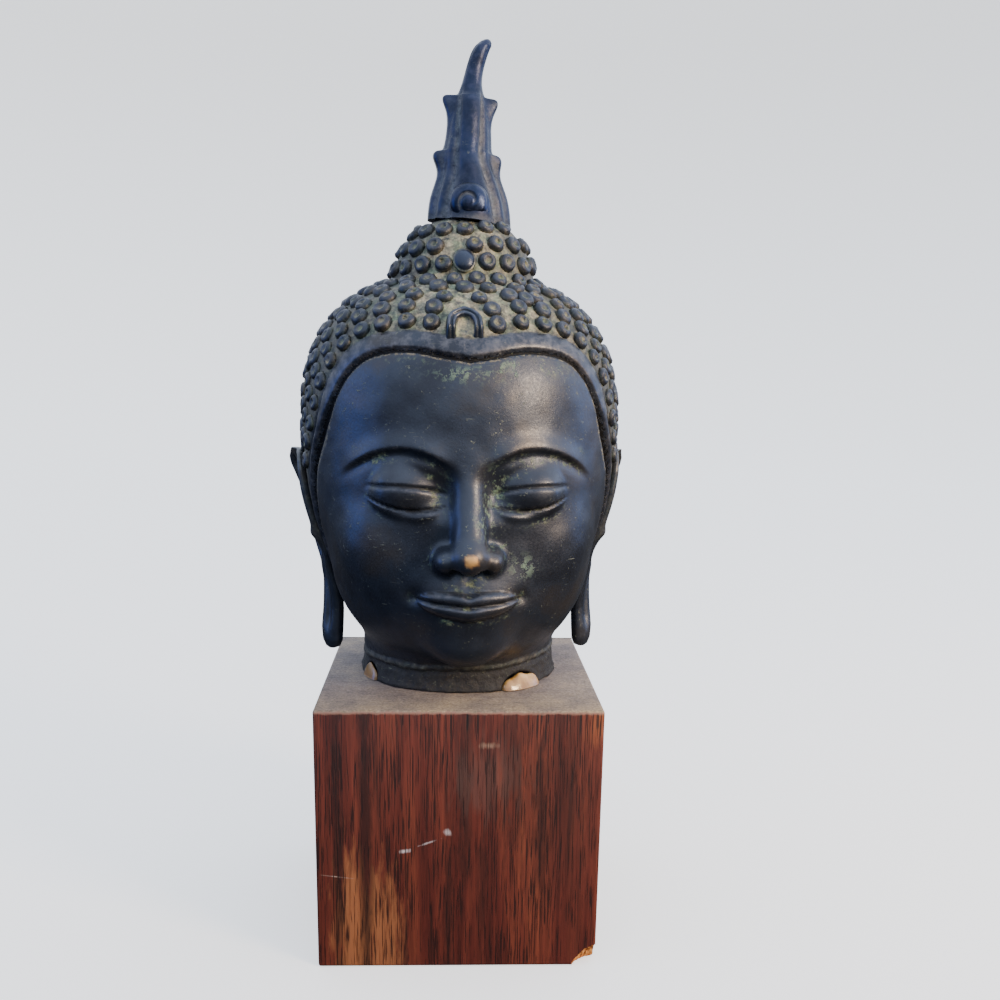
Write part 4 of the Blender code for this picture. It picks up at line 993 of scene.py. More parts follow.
niche, niche_points = shaped_ball("niche", 64, len(NICHE_LEVELS) - 1, niche_place)
in_hollow = np.hypot(niche_points[:, 0] / 2.9, (niche_points[:, 1] - 5.0) / 5.2) < 1
niche_height = niche_points[:, 2]
in_hollow &= niche_height < 1.6
paint(niche, dirt=np.where(in_hollow, 0.95, 0.05), ridge=0.5 * ramp(2.5, 2.9, niche_height))
sunk = 2 * NICHE_BURIED - 0.6
niche.data.transform(seat_frame(NICHE_X, NICHE_FOOT + NICHE_BURIED, over=7.0, below=sunk))
on_grid(niche)
stands_for(niche, "head", "bronze", HAIR_BRONZE)


def boss_place(way_round, way_down):
    """A low oval dome with a thin ring round its foot."""
    turn, tilt = 2 * math.pi * way_round, math.pi * way_down
    reach = np.sin(tilt) * (1 + 0.14 * hump(tilt - 1.42, 0.10))
    return np.column_stack([reach * np.sin(turn), -reach * np.cos(turn), np.cos(tilt)]) * BOSS_RADII


boss, boss_points = shaped_ball("crown_boss", 48, 40, boss_place)
boss_height = boss_points[:, 2]
paint(boss, dirt=0.6 * ramp(0.9, 0.2, boss_height), ridge=0.6 * ramp(2.0, 3.2, boss_height))
boss.data.transform(seat_frame(BOSS_X, BOSS_HEIGHT, over=3.0))
on_grid(boss)
stands_for(boss, "head", "bronze", HAIR_BRONZE)

# %% [markdown]
# ## The ears
# Long, drawn-out ears flare at the top and hang free below, their lobes slanting outward. In section the
# upper ear has a rolled rim, a groove, an inner fold and a deep shell. Lower down these run out
# into a smooth lobe with one long dip. A table gives the outline up the ear, the rest is one section.

# %% The ears
# Up the ear from the lobe: height, the outer edge's distance out, width, thickness, turn outward
EAR_LINE = (
    (7.0, 50.8, 2.6, 2.4, 45), (7.9, 52.7, 6.2, 4.6, 45), (10.4, 54.2, 9.0, 5.8, 45),
    (15.0, 54.7, 10.0, 6.2, 44), (23.0, 54.0, 10.5, 5.8, 38), (34.0, 53.6, 12.5, 5.8, 18),
    (46.0, 55.4, 15.5, 6.0, 11), (57.0, 57.4, 19.0, 6.2, 12), (69.0, 61.2, 22.0, 6.4, 17),
    (77.0, 64.8, 23.0, 6.0, 24), (80.5, 66.1, 20.5, 5.4, 27), (82.6, 65.7, 16.0, 4.8, 28),
    (83.8, 65.0, 10.5, 4.2, 28), (84.4, 64.0, 4.0, 3.0, 28),
)
# Rings crowd at both ends of the ear: share of the way up, and height
EAR_RINGS = (0, 0.06, 0.90, 1), (7.0, 8.0, 81.4, 84.4)
EAR_BACK, EAR_MIDDLE, EAR_LEAN, EAR_PROUD = 3.5, 45, 0.06, 1.5
FACE_SHARE = 0.62


def ear_section(across, height):
    """Place through the ear's thickness on its outer face, as a share of the thickness."""
    # how much of the upper ear's carving shows at this height, and the plain lobe with its dip
    shell = ramp(38, 50, height) * ramp(84, 77, height)
    plain = 0.5 * dome(across) ** 0.8
    long_dip = -0.22 * hump(across + 0.05, 0.3) * ramp(12, 20, height) * ramp(50, 42, height)
    # across the upper ear from front to back: rolled edge, deep shell, inner fold, groove, rolled rim
    rim = 0.62 * hump(across - 0.80, 0.19) + 0.34 * hump(across + 0.86, 0.15)
    folds = 0.28 * hump(across - 0.16, 0.2) - 0.10 * hump(across - 0.5, 0.14)
    deep = -0.34 * hump(across + 0.36, 0.24) * ramp(80, 70, height)
    root = 0.22 * hump(height - 58 - 6 * across, 2.4) * ramp(0.1, -0.5, across)
    carved = (rim + folds + deep + root) * dome(across) ** 0.25
    return (1 - shell) * (plain + long_dip) + shell * carved


def ear_place(way_round, way_down):
    """The right ear: its outer face is the first share of the way round, its back the rest."""
    height = np.interp(1 - way_down, *EAR_RINGS)
    heights, *lines = np.array(EAR_LINE).T
    outer, width, thick, turn = (np.interp(height, heights, line) for line in lines)
    closing = np.where((way_down == 0) | (way_down == 1), 0.0, 1.0)
    on_face = way_round <= FACE_SHARE
    face_way = np.where(on_face, way_round / FACE_SHARE, (1 - way_round) / (1 - FACE_SHARE))
    across = -np.cos(math.pi * face_way)
    depth = np.where(on_face, ear_section(across, height), -0.5 * dome(across) ** 0.7)
    turn = np.radians(turn)
    reach = width / 2 * np.sin(turn) + thick / 2 * np.cos(turn)
    a, t = across * width / 2 * closing, depth * thick * closing
    x = outer - reach + np.sin(turn) * a
    y = EAR_BACK + EAR_LEAN * (height - EAR_MIDDLE) + np.cos(turn) * a
    # where its plane would sink into the head, the ear is laid over the head's side instead
    sunk = EAR_PROUD - head_form(np.column_stack([x, y, height]))
    laid = np.clip(sunk, 0, 9) * ramp(30, 40, height)
    return np.column_stack([x + laid + np.cos(turn) * t, y - np.sin(turn) * t, height])


for side, name in ((1, "ear_right"), (-1, "ear_left")):
    ear, ear_points = shaped_ball(name, 96, 130, lambda r, d: ear_place(r, d) * [side, 1, 1], side < 0)
    ear_height = ear_points[:, 2]
    from_edge = np.abs(ear_points[:, 0]) - np.interp(ear_height, *np.array(EAR_LINE).T[:2])
    edge = ramp(2.5, 0.5, np.abs(from_edge))
    paint(ear, ridge=0.5 * edge, dirt=0.15 * (1 - edge) * ramp(44, 56, ear_height))
    on_grid(ear)
    stands_for(ear, "head", "bronze", DARK_BRONZE)

# %% [markdown]
# ## The flame
# The flame was cast by itself and set on a slanting seat. It has two flat-topped tiers whose tips stand
# out at the sides, then a spike that leans to the right. A rib runs up its front between two grooves
# full of pale earth. It is drawn as levels, each a rounded section, so again a ball is shaped ring by
# ring.

# %% The flame
# Up the flame: height, half width, half depth, and how far its middle lies to the right
FLAME_LINE = (
    (160, 15.0, 14.8, 0.0), (164, 15.0, 14.6, 0.0), (168, 14.8, 13.9, 0.0), (172, 14.2, 13.2, 0.0),
    (176, 13.0, 12.0, 0.0), (180, 11.6, 10.6, -0.2), (183, 11.5, 9.8, -0.5), (185.4, 12.1, 9.3, -0.8),
    (187, 12.2, 8.9, -0.9), (188, 11.5, 8.75, -0.9), (188.4, 10.2, 8.7, -0.88), (188.9, 9.1, 8.6, -0.85),
    (190.6, 8.5, 8.3, -0.7), (194, 8.1, 7.8, -0.45), (198, 7.9, 7.3, -0.3), (201.4, 8.4, 6.7, -0.1),
    (204.0, 9.4, 6.1, 0.0), (205.6, 9.8, 5.6, 0.0), (206.6, 9.4, 5.2, 0.0), (206.9, 8.2, 5.05, 0.05),
    (207.0, 6.6, 4.95, 0.1), (207.3, 5.2, 4.8, 0.2), (208.4, 4.4, 4.3, 0.3), (211.7, 3.5, 3.5, 0.6),
    (216.2, 3.1, 3.0, 1.5), (220.7, 3.0, 2.8, 2.9), (223.6, 2.7, 2.4, 4.4), (225.2, 2.1, 1.8, 6.0),
)
TIER_SLOPE = math.radians(3.6)
RIB_HALF_WIDTH = 3.6
# Heights over which the grooves fade at the upper tips, the outer pair grows weak and the ribs splay
GROOVES_FADE, OUTER_WEAK, RIBS_SPLAY = (210.5, 204.5), (190.5, 183), (190, 166)
FLAME_GAP = 0.3
# Near the tip the rings close over: share of the way down, and share of the section
TIP_CLOSING = (0, 0.005, 0.012, 0.02), (0, 0.6, 0.88, 1)


def flame_levels(way_down):
    """Height, half width, half depth and middle at even steps along the flame's outline."""
    knots = np.array(FLAME_LINE)
    fine = np.array([smooth_line(range(len(knots)), knots[:, i], count=3000)[1] for i in range(4)])
    length = np.concatenate([[0], np.cumsum(np.hypot(np.diff(fine[0]), np.diff(fine[1])))])
    at = (1 - way_down) * length[-1]
    return [np.interp(at, length, column) for column in fine]


def from_rib(turn):
    """Degrees from the nearer rib, and whether that is the one at the back."""
    from_front = np.abs((turn + 180) % 360 - 180)
    return np.minimum(from_front, 180 - from_front), from_front > 90


def flame_grooves(turn, height, body):
    """Grooves beside the ribs: how deep, as a share of the body, and how much earth they hold."""
    folded, at_back = from_rib(turn)
    plainer = np.where(at_back, 0.6, 1.0)
    splay = 20 * ramp(*RIBS_SPLAY, height)
    first = np.degrees(np.arcsin(np.clip(RIB_HALF_WIDTH / body, 0, 0.72))) + 5 + splay
    second = first + 0.56 * (90 - first)
    low_tier = ramp(*OUTER_WEAK, height)
    fluted = ramp(*GROOVES_FADE, height)
    one = hump(folded - first, 8.5) * fluted
    two = hump(folded - second, 6.5) * (0.25 + 0.75 * low_tier) * fluted
    rib = 0.13 * hump(folded, 0.62 * first) * fluted
    return plainer * (rib - 0.12 * one - 0.08 * two), np.clip(one + 0.7 * two, 0, 1), second


def flame_place(way_round, way_down):
    """Point of the flame, with the earth that its grooves hold and its level."""
    turn = 360 * way_round
    height, outer, body, lean = flame_levels(way_down)
    relief, held, second = flame_grooves(turn, height, body)
    # the tips stand out at the sides, where the section is widest
    wide = body + (outer - body) * ramp(second - 10, 76, from_rib(turn)[0])
    closing = np.where(way_down == 1, 0.0, np.interp(way_down, *TIP_CLOSING))
    x = wide * (1 + relief) * np.sin(np.radians(turn)) * closing
    y = -body * (1 + relief) * np.cos(np.radians(turn)) * closing
    round_tip = 0.9 * ramp(0.02, 0, way_down)
    seat = SEAT_HEIGHT + FLAME_GAP - math.tan(SEAT_SLOPE) * x
    z = height - math.tan(TIER_SLOPE) * x + round_tip
    return np.column_stack([SEAT_X + lean + x, y, np.maximum(z, seat), held, height])


flame, flame_points = shaped_ball("flame", 144, 250, flame_place)
earth_held, level = flame_points[:, 3], flame_points[:, 4]
paint(
    flame,
    dirt=np.clip(1.1 * earth_held**1.3 + 0.5 * ramp(167, 164.6, level), 0, 1),
    ridge=0.25 * (1 - earth_held) + 0.2 * ramp(200, 215, level),
    rough=0.15 + 0.3 * earth_held,
    # painted shadow on the front of the flame's foot, under the volute
    dark=0.5 * ramp(168.5, 166, level) * (flame_points[:, 1] < 0),
)
flame_points[:, 1] += uneven(flame_points[:, :3], 4.0, 0.25)
flame.data.vertices.foreach_set("co", flame_points[:, :3].ravel())
on_grid(flame)
stands_for(flame, "flame_finial", "finial_bronze", FLAME_BRONZE)

# %% [markdown]
# ## The volute
# At the foot of the flame sits a coiled knob, a shell shape that winds in to its middle. It is a squashed
# ball with its pole to the front, and the coil is a groove that steps inward with the turn.

# %% The volute
VOLUTE_PLACE, VOLUTE_RADII, COILS = (2.0, -12.2, 170.3), (6.9, 4.3, 6.6), 1.35


def volute_place(way_round, way_down):
    """A knob whose pole faces forward, with a coiled groove and a lip where the coil ends."""
    turn, tilt = 2 * math.pi * way_round, math.pi * way_down
    reach = np.sin(np.minimum(tilt, math.pi / 2))
    winding = (reach * COILS - way_round) % 1.0
    groove = hump(np.minimum(winding, 1 - winding), 0.15) * ramp(0.12, 0.3, reach) * ramp(1.6, 1.0, tilt)
    lip = 0.16 * hump(turn - 0.95, 0.45) * ramp(0.4, 1.0, reach)
    size = 1 - 0.06 * groove + lip
    right, up = np.sin(tilt) * np.sin(turn), -np.sin(tilt) * np.cos(turn)
    front = np.cos(tilt) * (1 - 0.12 * groove)
    return np.column_stack([right, -front, up]) * size[:, None] * VOLUTE_RADII + VOLUTE_PLACE


volute, volute_points = shaped_ball("volute", 96, 64, volute_place)
size_of = np.linalg.norm((volute_points - VOLUTE_PLACE) / VOLUTE_RADII, axis=1)
paint(
    volute,
    dirt=0.5 * ramp(0.96, 0.90, size_of),
    # painted shade in the coil's groove
    dark=0.25 * ramp(0.98, 0.92, size_of),
    ridge=0.35 * ramp(0.93, 1.0, size_of),
)
on_grid(volute)
stands_for(volute, "flame_finial", "finial_bronze", FLAME_BRONZE)

# %% [markdown]
# ## The glue
# Amber resin has squeezed out of two broken places in the neck's rim and set as rounded, glossy lumps. A
# ball is drawn out along the rim: thin at its ends, flat below, and with an upper edge that waves
# a little where it crept up the bronze. The one at the left is flatter and darkened with painted shade,
# and both are painted darker towards their foot. Cured resin is clear: light goes a little way in, so it
# glows where it is thin and keeps a sharp highlight.

# %% Amber resin
RESIN_CLOUD, RESIN_WAVE = 5.0, 2.0
resin, tree, shader = new_material("amber_resin_glue")
coords = add(tree, "TexCoord", out="Object")
cloudy = add(tree, "TexNoise", {"Vector": coords, "Scale": 1000 / RESIN_CLOUD, "Detail": 3.0})
amber = add(tree, "ValToRGB", {0: cloudy}, stops=((0.32, "84622F"), (0.5, "A4824C"), (0.68, "BFA573")))
waves = add(tree, "TexNoise", {"Vector": coords, "Scale": 1000 / RESIN_WAVE, "Detail": 2.0})
bump = add(tree, "Bump", {"Strength": 0.5, "Distance": 0.2 * MM, "Height": waves})
# painted shade: the resin turns dark brown where the bead carries painted shade
resin_painted_shade = add(tree, "Attribute", out="Fac", attribute_name="dirt")
amber = add(tree, "Mix", {0: resin_painted_shade, 6: amber, 7: linear("6A4F30")}, out=2, data_type="RGBA")
tree.links.new(amber, shader["Base Color"])
tree.links.new(bump, shader["Normal"])
shader["Roughness"].default_value = 0.17
shader["Subsurface Weight"].default_value = 0.35
shader["Subsurface Radius"].default_value = (0.004, 0.0022, 0.001)
shader["IOR"].default_value = 1.54
print("resin:", resin.name)


# %% The glue beads
def glue_bead(node, turn, half_width, height, bulge, soil_and_shade):
    """A run of resin along the rim, thin at its ends, flat below, with a wavy upper edge."""

    def bead_place(way_round, way_down):
        """A point of the bead on its own frame: along the rim, outward and up."""
        around, tilt = 2 * math.pi * way_round, math.pi * way_down
        along = half_width * np.cos(tilt)
        thick = np.sin(tilt) ** 0.75
        wave = 1 + 0.07 * np.sin(0.9 * along + 1)
        up = -height * 0.92 * thick * np.cos(around) * wave
        out = bulge * thick * np.sin(around) * (1 - 0.45 * np.clip(up / height, 0, 1))
        return np.column_stack([along, out, np.maximum(up, GLUE_SINK + 0.02)])

    bead, points = shaped_ball(node.replace("bead", "lump"), 72, 64, bead_place)
    # painted shade over the whole bead by the given share, and darker towards its foot
    paint(bead, dirt=np.clip(soil_and_shade + 0.5 * ramp(2.5, 0.8, points[:, 2]), 0, 1))
    bead.data.transform(glue_frame(turn))
    on_grid(bead)
    stands_for(bead, node, "glue", resin)


glue_bead("glue_bead_right", *GLUE_SPOTS["glue_bead_right"], bulge=3.6, soil_and_shade=0.1)
# the left bead is darkened with painted shade
glue_bead("glue_bead_left", *GLUE_SPOTS["glue_bead_left"], bulge=1.9, soil_and_shade=0.9)

# %% [markdown]
# ## Oiled red-brown hardwood
# A block sawn from dense red hardwood, oiled once and worn since, with its grain standing upright. The
# eye gets deep red-brown sides with darker upright streaks and fine pores, a dusty grey end grain on top,
# and pale new wood where a lower corner broke away. Noise stretched along the grain draws all of it, so
# one table holds the noise, and the finishes are laid over each other with its values as shares.

# %% What lies in the wood
PORE_GAP, PORE_LENGTH = 0.45, 17.0
BLOCK_TOP, FRONT = BLOCK_HIGH.z / MM, BLOCK_LOW.y / MM
# Noise by its size across, deep and up in millimetres, its detail, roughness and distortion. Real pores
# are 0.2 mm apart; they are drawn at about twice that to show.
WOOD_NOISE = {
    "streak": ((8, 8, 150), 5, 0.62, 0.3),
    "fibre": ((0.9, 0.9, 40), 4, 0.7, 0),
    "torn": ((2.4, 2.4, 13), 5, 0.65, 0),
    "pores": ((PORE_GAP, PORE_GAP, PORE_LENGTH), 2, 0.5, 0),
    "crowd": ((6, 6, 80), 3, 0.5, 0),
    "dark_band": ((3.4, 3.4, 75), 4, 0.6, 0),
    "dust": ((22, 22, 22), 7, 0.7, 0),
    "crumbs": ((0.9, 0.9, 0.9), 4, 0.7, 0),
    "ring": ((9, 1.2, 1), 3, 0.6, 0),
    "wander": ((2.2, 2.2, 2.2), 3, 0.5, 0),
}
# What it becomes: from two of its values to two shares, brightnesses or, for the edge's wander, metres
WOOD_SPANS = {
    "torn": ("torn", 0.3, 0.7, -0.5, 0.5),
    "fibre_tint": ("fibre", 0.3, 0.7, 0.65, 1.3),
    "crowd": ("crowd", 0.35, 0.65, -0.04, 0.04),
    "dark_band": ("dark_band", 0.60, 0.70, 0, 0.55),
    "crumbs": ("crumbs", 0.3, 0.7, 0.5, 1.45),
    "ring": ("ring", 0.52, 0.70, 0, 0.35),
    "wander": ("wander", 0.3, 0.7, -0.3 * MM, 0.3 * MM),
}


def wood_shares(tree, coords):
    """Outputs by name: the wood's noise, and how much of each finish lies there."""
    of = {}
    for name, (sizes, detail, roughness, distortion) in WOOD_NOISE.items():
        at = add(tree, "Mapping", {"Vector": coords, "Scale": [1000 / size for size in sizes]})
        feeds = {"Vector": at, "Scale": 1.0, "Detail": detail, "Roughness": roughness}
        of[name] = add(tree, "TexNoise", feeds | {"Distortion": distortion})
    for name, (source, low, high, least, most) in WOOD_SPANS.items():
        feeds = {"Value": of[source], "From Min": low, "From Max": high, "To Min": least, "To Max": most}
        of[name] = add(tree, "MapRange", feeds)

    # pores: short dark lines, thick in some streaks
    pores = add(tree, "Math", {0: of["pores"], 1: of["crowd"]}, operation="ADD")
    feeds = {"Value": pores, "From Min": 0.55, "From Max": 0.60, "To Max": 0.9}
    of["pores"] = add(tree, "MapRange", feeds)

    # the top's edge wanders a little, with a pale rubbed line just below it
    height = add(tree, "SeparateXYZ", {0: coords}, out="Z")
    level = add(tree, "Math", {0: height, 1: of["wander"]}, operation="ADD")
    for name, low, high in (("rubbed", 1.5, 0.9), ("top", 0.7, 0.3)):
        feeds = {"Value": level, "From Min": (BLOCK_TOP - low) * MM, "From Max": (BLOCK_TOP - high) * MM}
        of[name] = add(tree, "MapRange", feeds)
    of["rubbed"] = add(tree, "Math", {0: of["rubbed"], 1: 0.55}, operation="MULTIPLY")
    return of


print(len(WOOD_NOISE), "kinds of noise in the wood, pores", PORE_GAP, "mm apart")

# %% Hardwood
DARK_STREAK, WORN_WOOD = "190D0B", "8E5A38"
# Marks on the front: middle, half sizes in millimetres, turn in degrees, colour and share
MARKS = (
    ((-36.5, FRONT, 12.0), (8.0, 20, 32.0), 0, WORN_WOOD, 0.8),
    ((-26.0, FRONT, 8.0), (7.0, 20, 30.0), 0, "885636", 0.75),
    ((49.0, FRONT, 92.0), (5.0, 12, 9.0), 0, "8A4E2C", 0.55),
    ((34.0, FRONT, 60.0), (16.0, 14, 40.0), 0, "26120F", 0.35),
    ((-42.3, FRONT, 50.0), (1.8, 20, 75.0), 0, DARK_STREAK, 0.7),
    ((-32.6, FRONT, 50.0), (2.6, 20, 85.0), 0, DARK_STREAK, 0.75),
    ((2.2, FRONT, 74.0), (3.0, 20, 55.0), 0, DARK_STREAK, 0.6),
    ((-3.4, FRONT, 12.0), (2.0, 20, 32.0), 0, DARK_STREAK, 0.6),
    ((18.5, FRONT, 76.0), (5.0, 20, 28.0), 0, DARK_STREAK, 0.5),
    ((8.6, FRONT, 30.0), (1.6, 20, 26.0), 0, DARK_STREAK, 0.5),
    ((29.0, FRONT, 62.0), (2.4, 20, 26.0), 0, DARK_STREAK, 0.55),
    ((10.0, FRONT, 72.0), (13.0, 8, 15.0), 0, "66564E", 0.17),
    ((-18.9, FRONT, 45.2), (1.6, 6, 0.9), -10, "B4AEAE", 0.9),
    ((-11.0, FRONT, 48.2), (3.8, 6, 0.4), -20, "A8A0A0", 0.6),
    ((-3.7, FRONT, 52.3), (1.2, 6, 1.5), -35, "B0A8A8", 0.65),
    ((-43.0, FRONT, 35.5), (4.6, 6, 0.22), 7, "9A8478", 0.8),
    ((10.0, FRONT, 84.5), (3.4, 6, 1.3), 0, "8C7462", 0.5),
    ((2.8, FRONT, 94.0), (0.35, 6, 5.5), 0, "0C0605", 1.0),
)


def hardwood():
    """Old red hardwood with upright grain, and dusty end grain on its top."""
    material, tree, shader = new_material("oiled_red_brown_hardwood")
    coords = add(tree, "TexCoord", out="Object")
    of = wood_shares(tree, coords)
    multiply = {"out": 2, "data_type": "RGBA", "blend_type": "MULTIPLY"}

    # the sides: streaks, fine light and dark fibres, then marks broken up along the grain
    stops = ((0.28, "35150F"), (0.42, "451B14"), (0.54, "53241A"), (0.66, "5F2D1F"), (0.82, "73412A"))
    side = add(tree, "ValToRGB", {0: of["streak"]}, stops=stops)
    side = add(tree, "Mix", {0: 1.0, 6: side, 7: of["fibre_tint"]}, **multiply)
    for middle, radii, turn, mark, share in MARKS:
        feeds = {
            "Vector": coords,
            "Location": [v * MM for v in middle],
            "Rotation": (0, math.radians(turn), 0),
            "Scale": [v * MM for v in radii],
        }
        at = add(tree, "Mapping", feeds, vector_type="TEXTURE")
        far = add(tree, "VectorMath", {0: at}, out="Value", operation="LENGTH")
        far = add(tree, "Math", {0: far, 1: of["torn"]}, operation="ADD")
        inside = add(tree, "MapRange", {"Value": far, "From Min": 1.2, "From Max": 0.45, "To Max": share})
        side = add(tree, "Mix", {0: inside, 6: side, 7: linear(mark)}, out=2, data_type="RGBA")
    for share, finish in (("pores", "1A0C0A"), ("dark_band", "1E100D"), ("rubbed", "8E6E5E")):
        side = add(tree, "Mix", {0: of[share], 6: side, 7: linear(finish)}, out=2, data_type="RGBA")

    # end grain under dust, tan to the front
    stops = ((0.30, "57504F"), (0.46, "6C625C"), (0.58, "7E7164"), (0.74, "8E7F69"))
    end = add(tree, "ValToRGB", {0: of["dust"]}, stops=stops)
    end = add(tree, "Mix", {0: 1.0, 6: end, 7: of["crumbs"]}, **multiply)
    near = add(tree, "SeparateXYZ", {0: coords}, out="Y")
    near = add(tree, "MapRange", {"Value": near, "From Min": -0.02, "From Max": 0.9 * BLOCK_LOW.y})
    end = add(tree, "Mix", {0: near, 6: end, 7: linear("FBF3DE")}, **multiply)
    end = add(tree, "Mix", {0: of["ring"], 6: end, 7: linear("2E2624")}, out=2, data_type="RGBA")

    colour = add(tree, "Mix", {0: of["top"], 6: side, 7: end}, out=2, data_type="RGBA")
    gloss = add(tree, "MapRange", {"Value": of["top"], "To Min": 0.5, "To Max": 0.72})
    height = add(tree, "Math", {0: of["pores"], 1: -1.0, 2: of["fibre"]}, operation="MULTIPLY_ADD")
    bump = add(tree, "Bump", {"Strength": 0.7, "Distance": 0.15 * MM, "Height": height})
    for socket, value in (("Base Color", colour), ("Roughness", gloss), ("Normal", bump)):
        tree.links.new(value, shader[socket])
    shader["Specular IOR Level"].default_value = 0.38
    return material


print(len(MARKS), "marks on the front")


# %% The fresh break
SPLINTER_GAP, SPLINTER_LENGTH = 0.9, 7


def fresh_break():
    """New wood, pale orange and fibrous, where the corner came off."""
    material, tree, shader = new_material("fresh_broken_hardwood")
    coords = add(tree, "TexCoord", out="Object")
    sizes = (SPLINTER_GAP, SPLINTER_GAP, SPLINTER_LENGTH)
    along = add(tree, "Mapping", {"Vector": coords, "Scale": [1000 / size for size in sizes]})
    fibre = add(tree, "TexNoise", {"Vector": along, "Scale": 1.0, "Detail": 4.0})
    pale = add(tree, "ValToRGB", {0: fibre}, stops=((0.34, "5E3015"), (0.48, "A3652F"), (0.62, "C08A50")))
    bump = add(tree, "Bump", {"Strength": 0.9, "Distance": 0.3 * MM, "Height": fibre})
    tree.links.new(pale, shader["Base Color"])
    tree.links.new(bump, shader["Normal"])
    shader["Roughness"].default_value = 0.8
    shader["Specular IOR Level"].default_value = 0.25
    return material


WOOD, BREAK = hardwood(), fresh_break()
print("wood:", WOOD.name, BREAK.name)

# %% [markdown]
# ## The block
# A sawn cube whose edges are rubbed round, more at the two back corners, with a splinter split off its
# lower front corner. A cube is bevelled, then a ball swelled out to the size of the splinter, with a
# torn skin, is taken out of it by a Boolean, which also carries the new wood's finish into the break.

# %% The block
EDGE, BACK_CORNER = 1.0 * MM, 4.5 * MM
# The splinter: how far it reaches each way, how flat its sides are, and its fibres each way
SPLIT_REACH, SPLIT_POWER, SPLIT_FIBRES = (8.6, 6.6, 8.1), 1.55, (9, 9, 2.5)
SMOOTH_BELOW = math.radians(35)
size, middle = BLOCK_HIGH - BLOCK_LOW, (BLOCK_HIGH + BLOCK_LOW) / 2
bpy.ops.mesh.primitive_cube_add(size=1, location=middle, scale=size)
bpy.ops.object.transform_apply(location=True, rotation=True, scale=True)
block = bpy.context.object
block.name = block.data.name = "hardwood_block"


def bevel_edges(wanted, offset, segments):
    """Rounds the edges that a test picks out."""
    bpy.ops.object.mode_set(mode="EDIT")
    bpy.ops.mesh.select_all(action="DESELECT")
    bpy.ops.object.mode_set(mode="OBJECT")
    for e in block.data.edges:
        e.select = wanted(*(block.data.vertices[i].co for i in e.vertices))
    bpy.ops.object.mode_set(mode="EDIT")
    bpy.ops.mesh.select_mode(type="EDGE")
    bpy.ops.mesh.bevel(offset=offset, segments=segments, profile=0.5)
    bpy.ops.object.mode_set(mode="OBJECT")


bevel_edges(lambda a, b: abs(a.z - b.z) > 0.05 and a.y > 0, BACK_CORNER, segments=8)
bevel_edges(lambda a, b: abs(a.z - b.z) < 1e-5 or (a.y < 0 and b.y < 0), EDGE, segments=4)
block.data.materials.append(WOOD)

bpy.ops.mesh.primitive_ico_sphere_add(subdivisions=6, radius=1)
splinter = bpy.context.object
splinter.name = "splinter"
corner = Vector((BLOCK_HIGH.x, BLOCK_LOW.y, BLOCK_LOW.z))
for v in splinter.data.vertices:
    way = v.co.normalized()
    reach = sum((abs(w) / r) ** SPLIT_POWER for w, r in zip(way, SPLIT_REACH)) ** (-1 / SPLIT_POWER)
    fibre = Vector([w * f for w, f in zip(way, SPLIT_FIBRES)])
    reach *= 1 + 0.10 * noise.noise(fibre / 3) + 0.06 * noise.noise(fibre)
    v.co = corner + way * reach * MM
splinter.data.materials.append(BREAK)
cut = block.modifiers.new("broken_corner", "BOOLEAN")
cut.operation, cut.object, cut.solver = "DIFFERENCE", splinter, "EXACT"
cut.material_mode, cut.use_self = "TRANSFER", True
bpy.context.view_layer.objects.active = block
bpy.ops.object.modifier_apply(modifier=cut.name)
bpy.data.objects.remove(splinter)
block.select_set(True)
bpy.ops.object.shade_smooth_by_angle(angle=SMOOTH_BELOW)
block.select_set(False)
print("block materials:", [m.name for m in block.data.materials])
stands_for(block, "wood_block", "block_wood")

# %% [markdown]
# ## The floor
# The block stands in the middle of a plain pale bowl, so that it looks the same from all sides. It could
# be a flat plane with a curved backdrop, but that has only one good side. The real piece stood over
# dark ground, so the bowl is kept out of the bronze's reflections.

# %% The floor
BOWL_RADIUS, BOWL_HEIGHT, BOWL_SWEEP, BOWL_DROP = 3.0, 4.0, 1.2, -0.0001


def pale_floor():
    """A matt pale finish that glows a little, so that no dark corner shows behind the piece."""
    material, tree, shader = new_material("pale_matt_floor")
    shader["Base Color"].default_value = linear("B4B4B2")
    shader["Roughness"].default_value = 0.9
    shader["Emission Color"].default_value = linear("F2F4F6")
    shader["Emission Strength"].default_value = 1.1
    return material


place = (0, 0, BOWL_DROP)
bpy.ops.mesh.primitive_circle_add(vertices=96, radius=BOWL_RADIUS, fill_type="NGON", location=place)
floor = bpy.context.object
floor.name = "floor"
bpy.ops.object.mode_set(mode="EDIT")
bpy.ops.mesh.select_all(action="SELECT")
bpy.ops.mesh.select_mode(type="EDGE")
bpy.ops.mesh.region_to_loop()
bpy.ops.mesh.extrude_edges_move(TRANSFORM_OT_translate={"value": (0, 0, BOWL_HEIGHT)})
bpy.ops.object.mode_set(mode="OBJECT")
bpy.ops.object.transform_apply(location=True, rotation=True, scale=True)
sweep = floor.modifiers.new("sweep", "BEVEL")
sweep.width, sweep.segments = BOWL_SWEEP, 16
bpy.ops.object.modifier_apply(modifier=sweep.name)
floor.data.shade_smooth()
floor.data.materials.append(pale_floor())
floor.visible_glossy = floor.visible_diffuse = floor.visible_shadow = False
floor.select_set(False)
floor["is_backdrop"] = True
print("bowl", 2 * BOWL_RADIUS, "m across,", len(floor.data.polygons), "faces")

# %% [markdown]
# ## Light
# A clear sky with a low sun is what gives old bronze its look: bright above, dark below, and brighter on
# the sun's side. A warm lamp low on the right is the sun, and two cool ones give the blue sheen. The sky
# is drawn by direction alone, so it is the same for every view.

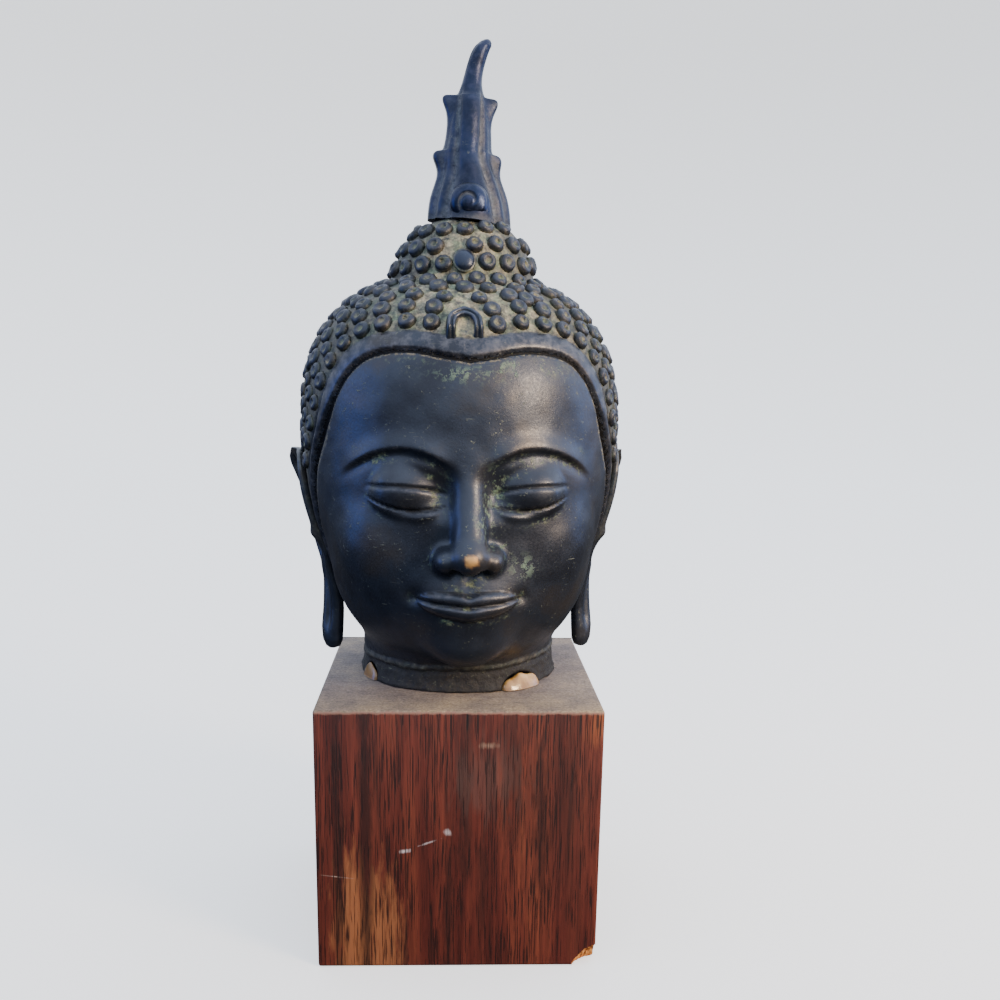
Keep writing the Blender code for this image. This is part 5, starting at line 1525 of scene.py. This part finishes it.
# %% Light
SKY_LEFT, SKY_RIGHT = 2.1, 3.9
world = bpy.data.worlds.new("open_sky")
bpy.context.scene.world = world
world.use_nodes = True
sky_tree = world.node_tree
direction = add(sky_tree, "TexCoord", out="Generated")
rise = add(sky_tree, "SeparateXYZ", {0: direction}, out="Z")
rise = add(sky_tree, "MapRange", {"Value": rise, "From Min": -1.0})
stops = ((0.0, "1C1B1A"), (0.46, "2C2B2A"), (0.53, "98A0AE"), (0.62, "CAD4E6"), (1.0, "DEE8FA"))
sky = add(sky_tree, "ValToRGB", {0: rise}, stops=stops)
sky_tree.links.new(sky, sky_tree.nodes["Background"].inputs["Color"])
side = add(sky_tree, "SeparateXYZ", {0: direction}, out="X")
feeds = {"Value": side, "From Min": -1.0, "To Min": SKY_LEFT, "To Max": SKY_RIGHT}
side = add(sky_tree, "MapRange", feeds)
sky_tree.links.new(side, sky_tree.nodes["Background"].inputs["Strength"])


def soft_lamp(name, place, aim, size, power, colour):
    """A square soft lamp that looks at a point: sizes in metres, power in watts."""
    bpy.ops.object.light_add(type="AREA", location=place)
    lamp = bpy.context.object
    lamp.name = name
    lamp.rotation_euler = (Vector(aim) - Vector(place)).to_track_quat("-Z", "Y").to_euler()
    lamp.data.size, lamp.data.energy, lamp.data.color = size, power, linear(colour)[:3]
    lamp.select_set(False)


FACE, HAIR = (0, 0, 0.22), (0, 0, 0.24)
soft_lamp("low_sun_right", (0.92, -0.66, 0.52), HAIR, size=0.3, power=24, colour="FFD9AA")
soft_lamp("cool_left", (-1.15, -0.15, 0.35), FACE, size=0.6, power=4.5, colour="5A84F0")
soft_lamp("cool_right", (1.2, 0.25, 0.32), FACE, size=0.5, power=3, colour="86A8F0")

# %% [markdown]
# ## The camera
# The photograph was taken from close by, at the height of the forehead and looking a little down. The
# camera's place and lens come from the block's corners. A small shift puts the block where it was
# in the frame.

# %% The camera
SENSOR = 36
# Place in millimetres, angles in radians, focal length and the middle of the picture in its pixels
CAMERA_PLACE = Vector((-3.981, -369.026, 209.499)) * MM
PITCH, YAW, ROLL = 0.2121, 0.0313, 0.0124
FOCAL, CENTRE_X, CENTRE_Y, FRAME_WIDTH = 984.49, 478.535, 585.743, 1000
forward = Vector((math.sin(YAW) * math.cos(PITCH), math.cos(YAW) * math.cos(PITCH), -math.sin(PITCH)))
level_right = Vector((math.cos(YAW), -math.sin(YAW), 0))
level_up = level_right.cross(forward)
right = math.cos(ROLL) * level_right + math.sin(ROLL) * level_up
up = math.cos(ROLL) * level_up - math.sin(ROLL) * level_right
bpy.ops.object.camera_add()
camera = bpy.context.object
look = Matrix((right, up, -forward)).transposed().to_4x4()
camera.matrix_world = Matrix.Translation(CAMERA_PLACE) @ look
camera.data.sensor_width = SENSOR
camera.data.lens = SENSOR * FOCAL / FRAME_WIDTH
camera.data.shift_x = (FRAME_WIDTH / 2 - CENTRE_X) / FRAME_WIDTH
camera.data.shift_y = (CENTRE_Y - FRAME_WIDTH / 2) / FRAME_WIDTH
camera.data.clip_start = 0.01
bpy.context.scene.camera = camera
print("lens", round(camera.data.lens, 2), "mm")

# %% [markdown]
# ## The sizes
# The box round the dressed model is printed, in millimetres. The dressed model has to
# stay inside the solids' box.

# %% The sizes
low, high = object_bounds()
print("dressed box", [round(v / MM, 1) for v in (*low, *high)])
